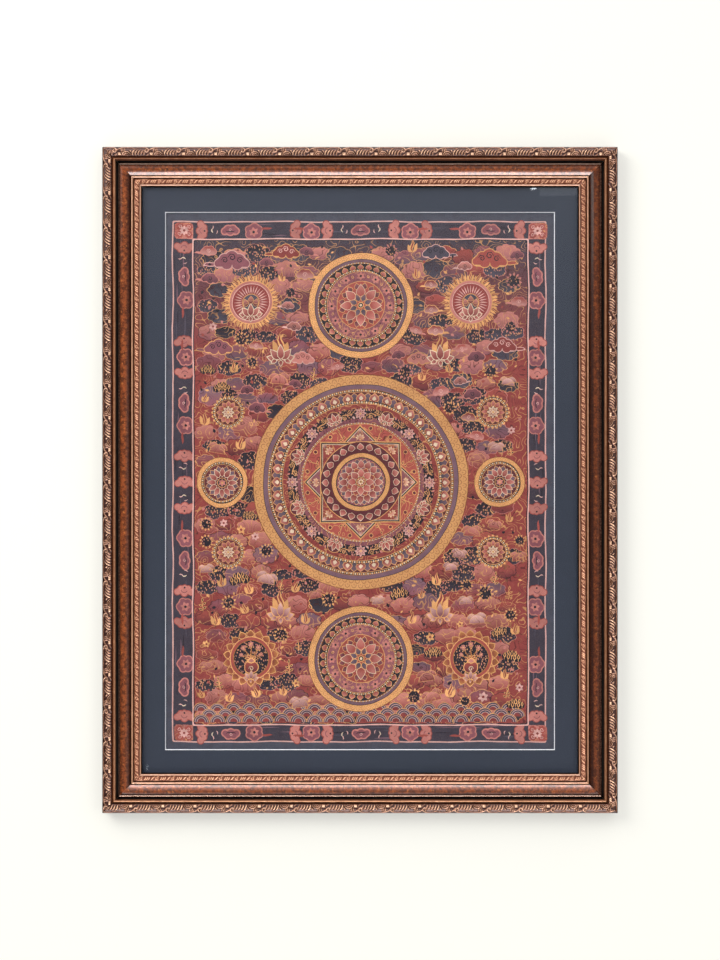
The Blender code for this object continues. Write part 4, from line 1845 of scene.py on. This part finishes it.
    def bank_of_clouds(self, rim: Pigment, inside: Pigment, curl: Pigment) -> Motif:
        """A heaped cloud 56 mm wide with curls."""
        made = [Patch(brush(((18, -3), (30, -8), (38, -1), (44, -6)), 7, 5, 0.05), rim),
                Patch(brush(((19, -3), (30, -7), (38, -2), (42, -5)), 4.6, 5, 0.05), inside)]
        made += self.edged(((-20, -3, 6.5), (-11, 3, 8.5), (0, 6, 10), (11, 3, 8.5),
                            (20, -3, 6.5), (-8, -4, 8), (8, -4, 8)), 1.3, rim, inside, 40)
        for spot, flip, size in (((-12, 2), True, 1.3), ((11, 2), False, 1.3),
                                 ((0, 6), False, 1.5)):
            made += placed([Patch(scroll(4.2, 1.4, 1.2), curl)], spot, 0, size, flip)
        return made

    def waters(self) -> None:
        """Rows of waves along the foot of the field, and clouds along its head."""
        P = Pigment
        left, bottom, right, top = self.inner
        dome = disc(13.0)[disc(13.0)[:, 1] > -0.5]
        for row in range(3):
            for place in range(21):
                spot = (left + 12 + 26 * (place + 0.5 * (row % 2)), bottom + 22 - 9 * row)
                if spot[0] < right - 12:
                    self.lay([Patch(dome, P.GOLD),
                              Patch(dome * 0.93, P.SLATE, ornament=Ornament.RINGS,
                                    band=(0.0, 3.3, 1.0)), Patch(dome * 0.42, P.BRICK)], spot)
        for spot, size, pigments in (
                ((-205, 352), 1.05, (P.ROSE, P.PLUM, P.INK)),
                ((-118, 366), 0.8, (P.GOLD, P.BRICK, P.ROSE)),
                ((122, 366), 0.8, (P.ROSE, P.SLATE, P.INK)),
                ((208, 354), 1.05, (P.GOLD, P.RUST, P.INK)),
                ((-226, 214), 0.85, (P.GOLD, P.PLUM, P.INK)),
                ((228, 216), 0.85, (P.ROSE, P.BRICK, P.ROSE)),
                ((-92, 196), 0.7, (P.ROSE, P.SALMON, P.MAROON)),
                ((94, 196), 0.7, (P.GOLD, P.SALMON, P.INK))):
            self.lay(self.bank_of_clouds(*pigments), spot, 0, size, spot[0] < 0)
            self.taken.append((*spot, 25 * size))

    def groups(self) -> list[tuple[Motif, Point, float, bool, float]]:
        """The larger motifs round the great roundel.

        Returns:
            For each its patches, spot, size, whether it is mirrored, and the room it takes.
        """
        across, up = self.heart
        P = Pigment
        fire = flame(34)
        plan = []
        for side in (-1, 1):
            plan += [(self.roundel(84.0, 30), (across, up + side * 283), 1, False, 87),
                     (self.small_roundel(40.0), (across + side * 222, up), 1, False, 42),
                     (self.jewel_shrine(), (across + side * 176, up + 288), 1, side < 0, 47),
                     (self.flower_vase(), (across + side * 176, up - 282), 1.12, side < 0, 45)]
            for height, pigments in ((1, (P.CREAM, P.BRICK, P.SALMON)),
                                     (-1, (P.GOLD, P.PLUM, P.ROSE))):
                plan += [(self.rosette_roundel(), (across + side * 212, up + height * 112), 1,
                          False, 27),
                         ([*placed(fire, (0, -2)), *placed(lotus(40, *pigments), (0, -12))],
                          (across + side * 128, up + height * 206), 1, side < 0, 22)]
        return plan

    def scatter(self) -> None:
        """Fills what is left of the field with small motifs, by chance but the same each time."""
        chance = random.Random(self.seed + 2)
        left, bottom, right, top = self.inner
        P = Pigment
        plants = [sprig(2, P.GOLD, P.INK, P.GOLD), sprig(2, P.GOLD, P.BRICK, P.GOLD),
                  bush(P.GOLD), bush(P.GOLD), grove(P.GOLD, P.INK), floret(6, P.ROSE, P.BRICK),
                  floret(5, P.GOLD, P.BRICK), flame(19), flame(18, P.GOLD, P.RUST), flame(16),
                  rocks(P.SALMON, P.BRICK), rocks(P.ROSE, P.PLUM)]
        skies = [cloudlet(P.SALMON, P.PLUM, P.INK), cloudlet(P.GOLD, P.BRICK, P.ROSE),
                 cloudlet(P.ROSE, P.SALMON, P.INK), cloudlet(P.SALMON, P.RUST, P.ROSE),
                 knot_scroll(P.GOLD), flame(17), bush(P.SALMON)]
        crumbs = [[Patch(petal(6.5, 3.4, 0, 3), P.GOLD)], [Patch(petal(6.0, 4.0, 0, 3), P.SALMON)],
                  [Patch(brush(((-4, 0), (0, 3), (4, 0)), 1.5, 3), P.GOLD)],
                  [Patch(petal(6.0, 4.0, 0, 3), P.RUST)], [Patch(petal(6.5, 4.2, 0, 3), P.INK)]]
        spots = [np.array(self.taken)]
        for kind, tries, room in (("motif", 2600, 11.6), ("crumb", 2600, 4.2)):
            for _ in range(tries):
                size = chance.uniform(0.85, 1.25)
                spot = (chance.uniform(left + 13, right - 13),
                        chance.uniform(bottom + 32, top - 12))
                flip, turn, pick = chance.random() < 0.5, chance.uniform(-14, 14), chance.random()
                reach = room * size
                near = np.hypot(spots[0][:, 0] - spot[0], spots[0][:, 1] - spot[1])
                if (near < spots[0][:, 2] + reach).any():
                    continue
                if kind == "crumb":
                    chosen, turn = crumbs[int(pick * len(crumbs))], chance.uniform(0, 360)
                else:
                    high = (spot[1] - bottom) / (top - bottom) + chance.uniform(-0.2, 0.2) > 0.68
                    shelf = skies if high else plants
                    chosen = shelf[int(pick * len(shelf))]
                self.lay(chosen, spot, turn, size, flip)
                spots[0] = np.vstack((spots[0], (*spot, reach)))

    def paint(self, half: Point) -> Motif:
        """Paints everything in order, the lowest layer first.

        Args:
            half: half the width and height of the cloth.

        Returns:
            The patches.
        """
        plan = self.groups()
        self.taken = [(*self.heart, self.great + 3)] + [(*spot, room)
                                                        for _, spot, _, _, room in plan]
        self.grounds(half)
        self.washes()
        self.waters()
        for motif, spot, size, flip, _ in plan:
            self.lay(motif, spot, 0, size, flip)
        self.great_roundel()
        self.scatter()
        log.info("painting: %d patches", len(self.patches))
        return self.patches


@dataclass(frozen=True)
class Wave:
    """One cockle wave: cycles over the cloth's width and height, lead in cycles, height."""

    cycles_across: float
    cycles_up: float
    lead: float
    height: float


@dataclass
class Cloth:
    """The painted cloth, cockled in the mat's window and flat where the mat holds it."""

    low: Vector
    high: Vector
    front: float = 0.0050
    thickness: float = 0.0012
    window: Point = (0.6241, 0.8616)
    mat: float = 0.0026
    fade: float = 0.0700
    columns: int = 34
    rows: int = 46
    cockle: tuple[Wave, ...] = (
        Wave(1.0, 0.0, 0.50, 0.00055), Wave(0.0, 1.0, 0.42, 0.00030),
        Wave(2.6, 0.7, 0.30, 0.00024), Wave(0.6, 3.2, 0.15, 0.00020),
        Wave(1.7, 2.3, 0.60, 0.00016),
    )

    def size(self) -> Point:
        """The flat size of the cloth in metres."""
        return self.high.x - self.low.x, self.high.z - self.low.z

    def rise(self, places: np.ndarray) -> np.ndarray:
        """How far the cloth stands forward.

        Args:
            places: rows of across and up from its middle, in metres.

        Returns:
            The heights in metres.
        """
        size = np.array(self.size())
        inside = np.array(self.window) / 2 - self.mat - np.abs(places)
        share = np.clip(inside / self.fade, 0, 1)
        free = (share * share * (3 - 2 * share)).prod(1)
        cycles = places / size
        total = np.zeros(len(places))
        for wave in self.cockle:
            turn = cycles @ (wave.cycles_across, wave.cycles_up) + wave.lead
            total += wave.height * (0.5 - 0.5 * np.cos(2 * pi * turn))
        return free * total

    def by_hand(self, points: np.ndarray) -> np.ndarray:
        """Lets every painted line waver a little, as a hand does."""
        across, up = points[:, 0], points[:, 1]
        aside = (0.55 * np.sin(up / 23 + 1.3) + 0.40 * np.sin(across / 31 + up / 17)
                 + 0.16 * np.sin(up / 3.7 + across / 6.1))
        lift = (0.55 * np.sin(across / 27 + 0.4) + 0.40 * np.sin(across / 13 - up / 41 + 2)
                + 0.16 * np.sin(across / 3.3 - up / 7.3))
        return points + np.stack((aside, lift), 1)

    def finely(self, outline: np.ndarray, step: float = 13.0) -> np.ndarray:
        """Adds points to an outline's long sides."""
        after = np.roll(outline, -1, 0)
        pieces = np.maximum(np.ceil(np.hypot(*(after - outline).T) / step), 1).astype(int)
        if pieces.max() == 1:
            return outline
        rows = [start + (end - start) * (np.arange(count) / count)[:, None]
                for start, end, count in zip(outline, after, pieces)]
        return np.concatenate(rows)

    def rim_points(self) -> np.ndarray:
        """Points round the cloth's edge in millimetres, anticlockwise from the lower left."""
        half = np.array(self.size()) / 2 / MM
        across = np.linspace(-half[0], half[0], self.columns + 1)
        up = np.linspace(-half[1], half[1], self.rows + 1)
        return np.concatenate((
            np.stack((across[:-1], np.full(self.columns, -half[1])), 1),
            np.stack((np.full(self.rows, half[0]), up[:-1]), 1),
            np.stack((across[:0:-1], np.full(self.columns, half[1])), 1),
            np.stack((np.full(self.rows, -half[0]), up[:0:-1]), 1)))

    def partition(self, patches: Motif) -> tuple[np.ndarray, np.ndarray, np.ndarray, np.ndarray]:
        """Cuts the front into triangles along every painted edge.

        Args:
            patches: the painting, the lowest layer first. Its first patch covers the cloth.

        Returns:
            The vertices in millimetres, the triangles, the top patch of each triangle, and the
            vertex of each rim point.
        """
        rim = self.rim_points()
        half = rim.max(0)
        grid = np.stack(np.meshgrid(np.linspace(-half[0], half[0], self.columns + 1)[1:-1],
                                    np.linspace(-half[1], half[1], self.rows + 1)[1:-1]),
                        -1).reshape(-1, 2)
        points, faces = [rim, grid], [list(range(len(rim)))]
        count = len(rim) + len(grid)
        for patch in patches[1:]:
            outline = self.by_hand(self.finely(patch.outline))
            area = np.sum(outline[:, 0] * np.roll(outline[:, 1], -1)
                          - outline[:, 1] * np.roll(outline[:, 0], -1))
            if area < 0:
                outline = outline[::-1]
            points.append(outline)
            faces.append(list(range(count, count + len(outline))))
            count += len(outline)
        coords = [Vector(point) for point in np.concatenate(points)]
        found = delaunay_2d_cdt(coords, [], faces, 1, 1e-4)
        vertices = np.array([tuple(vertex) for vertex in found[0]])
        triangles = np.array(found[2])
        top = np.array([max(ids) if ids else 0 for ids in found[5]])
        home = np.full(len(rim), -1)
        for number, sources in enumerate(found[3]):
            for source in sources:
                if source < len(rim):
                    home[source] = number
        return vertices, triangles, top, home

    def colours(self, patches: Motif, vertices: np.ndarray, triangles: np.ndarray,
                top: np.ndarray) -> np.ndarray:
        """The paint at each corner of each triangle.

        Args:
            patches: the painting.
            vertices: the vertices in millimetres.
            triangles: the triangles.
            top: the top patch of each triangle.

        Returns:
            Linear colours, one row a corner.
        """
        chance = np.random.default_rng(5)
        first = np.array([linear(patch.pigment.value) for patch in patches])
        second = np.array([linear((patch.tip or patch.pigment).value) for patch in patches])
        age = 1 + chance.uniform(-0.16, 0.16, (len(patches), 1)) * (np.arange(len(patches)) > 4
                                                                  )[:, None]
        start = np.array([patch.run[0] for patch in patches])
        way = np.array([patch.run[1] - patch.run[0] for patch in patches])
        way /= (way ** 2).sum(1)[:, None]
        owner = np.repeat(top, 3)
        place = vertices[triangles.ravel()]
        share = np.clip(((place - start[owner]) * way[owner]).sum(1), 0, 1)[:, None]
        mixed = first[owner] * (1 - share) + second[owner] * share
        return np.clip(mixed * age[owner], 0, 1)

    def build(self, paint: bpy.types.Material, cotton: bpy.types.Material) -> None:
        """Makes the cloth as one closed sheet.

        Args:
            paint: the painted front's finish.
            cotton: the bare back's finish.
        """
        size = self.size()
        half = np.array(size) / 2 / MM
        patches = Painting().paint((half[0], half[1]))
        flat, triangles, top, home = self.partition(patches)
        middle = np.array(((self.low.x + self.high.x) / 2, (self.low.z + self.high.z) / 2))
        rim = self.rim_points()
        inner = np.stack(np.meshgrid(np.linspace(-half[0], half[0], self.columns + 1)[1:-1],
                                     np.linspace(-half[1], half[1], self.rows + 1)[1:-1]),
                         -1).reshape(-1, 2)
        behind = delaunay_2d_cdt([Vector(p) for p in np.concatenate((rim, inner))], [],
                                 [list(range(len(rim)))], 1, 1e-4)
        rear = np.array([tuple(vertex) for vertex in behind[0]])
        backs = np.array(behind[2])[:, ::-1] + len(flat)
        home_rear = np.full(len(rim), -1)
        for number, sources in enumerate(behind[3]):
            for source in sources:
                if source < len(rim):
                    home_rear[source] = number + len(flat)
        after, after_rear = np.roll(home, -1), np.roll(home_rear, -1)
        edges = np.stack((after, home, home_rear, after_rear), 1)
        places = np.concatenate((flat, rear)) * MM
        depth = self.front + self.rise(places)
        depth[len(flat):] -= self.thickness
        vertices = np.stack((places[:, 0] + middle[0], -depth, places[:, 1] + middle[1]), 1)
        faces = triangles.tolist() + backs.tolist() + edges.tolist()
        materials = [0] * len(triangles) + [1] * (len(backs) + len(edges))
        made = MeshParts(vertices, faces, materials).to_object("painted_cloth", [paint, cotton])
        self.dress(made, patches, flat, triangles, top)
        fit(made, "painted_cloth", "thangka_cloth")

    def dress(self, made: bpy.types.Object, patches: Motif, flat: np.ndarray,
              triangles: np.ndarray, top: np.ndarray) -> None:
        """Writes the paint, the gilding and the texture places onto the cloth.

        Args:
            made: the cloth.
            patches: the painting.
            flat: the front's vertices in millimetres.
            triangles: the front's triangles.
            top: the top patch of each triangle.
        """
        mesh = made.data
        corners = np.ones((len(mesh.loops), 4), np.float32)
        corners[:, :3] = linear((206, 192, 168))
        corners[:triangles.size, :3] = self.colours(patches, flat, triangles, top)
        mesh.attributes.new("pigment", "FLOAT_COLOR", "CORNER").data.foreach_set(
            "color", corners.ravel())
        shine = np.zeros(len(mesh.polygons), np.float32)
        gilded = np.array([patch.pigment is Pigment.GOLD for patch in patches])
        shine[:len(top)] = gilded[top]
        mesh.attributes.new("gilt", "FLOAT", "FACE").data.foreach_set("value", shine)
        middle = np.array(((self.low.x + self.high.x) / 2, (self.low.z + self.high.z) / 2, 0.0))
        hubs = np.array([(*patch.hub * MM, patch.ornament.value) for patch in patches]) + middle
        bands = np.array([patch.band for patch in patches]) * (MM, MM, 1.0)
        for label, rows, rest in (("hub", hubs, 0.0), ("band", bands, 1.0)):
            values = np.full((len(mesh.polygons), 3), rest, np.float32)
            values[:len(top)] = rows[top]
            mesh.attributes.new(label, "FLOAT_VECTOR", "FACE").data.foreach_set(
                "vector", values.ravel())
        vertex = np.empty(len(mesh.loops), np.int32)
        mesh.loops.foreach_get("vertex_index", vertex)
        co = np.empty(len(mesh.vertices) * 3, np.float32)
        mesh.vertices.foreach_get("co", co)
        place = co.reshape(-1, 3)[vertex][:, (0, 2)] - (self.low.x, self.low.z)
        tall = self.high.z - self.low.z
        spread = place / tall
        spread[triangles.size:] = spread[triangles.size:] * 0.34 + (0.745, 0.0)
        mesh.uv_layers.new(name="OFBake").data.foreach_set("uv", spread.astype(np.float32).ravel())


@dataclass
class Wall:
    """The studio: a pale wall, a pale floor, soft lamps and the camera."""

    middle: Vector
    front: float
    distance: float = 2.6
    pixel: float = 0.001587
    floor_z: float = -1.75

    def camera(self) -> None:
        """Stands the camera square on, level with the middle of the frame."""
        lens = bpy.data.cameras.new("camera")
        lens.sensor_width = 36.0
        lens.lens = self.distance * 36.0 / (960 * self.pixel)
        view = bpy.data.objects.new("camera", lens)
        view.location = (self.middle.x, self.front - self.distance, self.middle.z)
        view.rotation_euler = (radians(90), 0.0, 0.0)
        bpy.context.scene.collection.objects.link(view)
        bpy.context.scene.camera = view

    def surroundings(self) -> None:
        """Lights from all round: bright above and below, dimmer at the sides and in front."""
        world = bpy.data.worlds.new("studio")
        world.use_nodes = True
        tree = world.node_tree
        tree.nodes.clear()
        place = tree.nodes.new("ShaderNodeTexCoord")
        parts = tree.nodes.new("ShaderNodeSeparateXYZ")
        tree.links.new(place.outputs["Generated"], parts.inputs[0])
        upright = tree.nodes.new("ShaderNodeMath")
        upright.operation = "ABSOLUTE"
        tree.links.new(parts.outputs["Z"], upright.inputs[0])
        slant = tree.nodes.new("ShaderNodeVectorMath")
        slant.operation = "DOT_PRODUCT"
        tree.links.new(place.outputs["Generated"], slant.inputs[0])
        slant.inputs[1].default_value = (0.10, 0.0, 0.90)
        total = tree.nodes.new("ShaderNodeMath")
        total.operation = "ADD"
        for number, (source, limits) in enumerate(((upright.outputs[0], (0.30, 0.80, 0.0, 1.05)),
                                                   (slant.outputs["Value"],
                                                    (-0.03, 0.32, 0.04, 0.76)))):
            steps = tree.nodes.new("ShaderNodeMapRange")
            steps.interpolation_type = "SMOOTHSTEP"
            for name, value in zip(("From Min", "From Max", "To Min", "To Max"), limits):
                steps.inputs[name].default_value = value
            tree.links.new(source, steps.inputs["Value"])
            tree.links.new(steps.outputs["Result"], total.inputs[number])
        glow = tree.nodes.new("ShaderNodeBackground")
        glow.inputs["Color"].default_value = (0.96, 0.98, 1.0, 1.0)
        tree.links.new(total.outputs[0], glow.inputs["Strength"])
        output = tree.nodes.new("ShaderNodeOutputWorld")
        tree.links.new(glow.outputs[0], output.inputs["Surface"])
        bpy.context.scene.world = world

    def lamp(self, name: str, spot: Point, ahead: float, size: Point, power: float,
             colour: Colour = (1.0, 1.0, 1.0)) -> bpy.types.Object:
        """Hangs one soft lamp that faces the picture.

        Args:
            name: the lamp's name.
            spot: how far right of and above the frame's middle it hangs, in metres.
            ahead: how far in front of the wall it hangs.
            size: its width and height.
            power: its power in watts.
            colour: its linear colour.

        Returns:
            The lamp.
        """
        light = bpy.data.lights.new(name, "AREA")
        light.shape = "RECTANGLE"
        light.size, light.size_y = size
        light.energy = power
        light.color = colour
        made = bpy.data.objects.new(name, light)
        made.location = self.middle + Vector((spot[0], -ahead, spot[1]))
        made.rotation_euler = (self.middle - made.location).to_track_quat("-Z", "Y").to_euler()
        bpy.context.scene.collection.objects.link(made)
        return made

    @staticmethod
    def keep_off(lamp: bpy.types.Object, pane: bpy.types.Object) -> None:
        """Screens the pane from one lamp, which would show in it from above or below.

        Args:
            lamp: the lamp.
            pane: the pane.
        """
        screened = bpy.data.collections.new(lamp.name + "_screened")
        screened.objects.link(pane)
        screened.collection_objects[0].light_linking.link_state = "EXCLUDE"
        lamp.light_linking.receiver_collection = screened

    def plain_sheet(self, name: str, matrix: Matrix, size: float,
                    finish: bpy.types.Material) -> bpy.types.Object:
        """A plain square of the studio, which casts nothing on the picture.

        Args:
            name: the square's name.
            matrix: its place.
            size: its width.
            finish: its material.

        Returns:
            The square, which only the camera sees.
        """
        half = size / 2
        corners = [(-half, -half, 0), (half, -half, 0), (half, half, 0), (-half, half, 0)]
        made = MeshParts(np.array(corners, float), [(0, 1, 2, 3)]).to_object(name, [finish])
        made.matrix_world = matrix
        made.visible_diffuse = made.visible_glossy = False
        made.visible_transmission = made.visible_shadow = False
        return made

    def build(self, pane: bpy.types.Object) -> None:
        """Sets up wall, floor, lamps and camera.

        Args:
            pane: the picture's glass, which only the small lights show in.
        """
        self.surroundings()
        paint = Recipe("wall_paint")
        wall = paint.node("ShaderNodeBsdfDiffuse")
        speckle = paint.noise(0.004, 2.0)
        paint.feed(wall.inputs["Color"], paint.blend(speckle, linear((253, 251, 240)),
                                                     linear((251, 249, 238))))
        unseen = paint.node("ShaderNodeBsdfTransparent")
        side = paint.node("ShaderNodeNewGeometry")
        glow = paint.node("ShaderNodeEmission")
        paint.feed(glow.inputs["Color"], linear((254, 253, 248)))
        lit = paint.node("ShaderNodeMixShader")
        for socket, value in zip(lit.inputs, (0.45, wall.outputs[0], glow.outputs[0])):
            paint.feed(socket, value)
        mixed = paint.node("ShaderNodeMixShader")
        paint.feed(mixed.inputs[0], side.outputs["Backfacing"])
        paint.feed(mixed.inputs[1], lit.outputs[0])
        paint.feed(mixed.inputs[2], unseen.outputs[0])
        output = paint.node("ShaderNodeOutputMaterial")
        paint.feed(output.inputs["Surface"], mixed.outputs[0])
        stand = Matrix.Translation((self.middle.x, 0.0004, self.middle.z))
        stand = stand @ Matrix.Rotation(radians(90), 4, "X")
        self.plain_sheet("wall", stand, 9.0, paint.material)
        concrete = Recipe("pale_floor")
        speckle = concrete.noise(0.02, 4.0)
        colour = concrete.blend(speckle, linear((236, 233, 227)), linear((228, 225, 218)))
        lie = Matrix.Translation((self.middle.x, 0.0, self.floor_z))
        self.plain_sheet("floor", lie, 9.0, concrete.surface(Base_Color=colour, Roughness=0.8))
        for name, spot, ahead, size, power in (("key", (-2.8, 2.0), 2.7, (2.3, 2.3), 126.0),
                                               ("fill", (2.6, -0.6), 3.0, (2.4, 2.4), 30.0)):
            self.keep_off(self.lamp(name, spot, ahead, size, power, (1.0, 0.985, 0.965)), pane)
        pale, cool = (0.97, 0.98, 1.0), (0.86, 0.93, 1.0)
        for name, spot, ahead, size, power, colour in (
                ("card_above", (0.2, 2.4), 1.25, (3.2, 1.6), 95.0, pale),
                ("card_below", (0.2, -2.4), 1.4, (3.2, 2.0), 215.0, pale),
                ("window_glint", (0.556, 0.930), 2.6, (0.016, 0.011), 0.008, cool),
                ("window_streak", (0.640, 0.925), 2.6, (0.13, 0.036), 0.010, cool),
                ("far_glint", (-0.678, -0.918), 2.6, (0.007, 0.016), 0.0008, cool)):
            card = self.lamp(name, spot, ahead, size, power, colour)
            card.visible_diffuse = card.visible_transmission = False
            if name.startswith("card"):
                self.keep_off(card, pane)
        self.camera()
        bpy.context.scene.view_settings.view_transform = "Standard"


def finishes() -> dict[str, bpy.types.Material]:
    """Mixes every finish once.

    Returns:
        The materials by name.
    """
    leaves = {member.finish for member in Moulding().members} | {GROOVE_PAINTED_SHADE, SIDE_GLAZE, SIGHT_EDGE_PAINTED_SHADE}
    woods = [RawWoodFinish("upright_wood", (206, 176, 136), (160, 122, 82), True),
             RawWoodFinish("level_wood", (206, 176, 136), (160, 122, 82), False)]
    rest = [MatPaperFinish(), MatCoreFinish(), GlassFinish(), PaintFinish(), CanvasFinish(),
            BoardFinish("brown_hardboard", (150, 108, 70), (104, 70, 44))]
    ordered = sorted(leaves, key=lambda leaf: leaf.name)
    return {recipe.name: recipe.material() for recipe in [*ordered, *woods, *rest]}


def main() -> None:
    """Dresses the picture and lights it."""
    logging.basicConfig(level=logging.INFO, format="%(name)s: %(message)s")
    materials = finishes()
    PictureFrame(*cad_box).build(materials)
    MatBoard(*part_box("mat_board")).build(materials["navy_mat_paper"], materials["white_mat_core"])
    for node, finish, slot in (("glass", "picture_glass", "clear_glass"),
                               ("backing_board", "brown_hardboard", "plain_board")):
        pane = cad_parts[node]
        pane.data.materials.clear()
        pane.data.materials.append(materials[finish])
        log.info("%s: kept, with %s", node, finish)
    Cloth(*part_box("thangka_cloth")).build(materials["mineral_paint"],
                                          materials["bare_cotton"])
    middle = (cad_box[0] + cad_box[1]) / 2
    Wall(middle, cad_box[0].y).build(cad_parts["glass"])


if __name__ == "__main__":
    main()
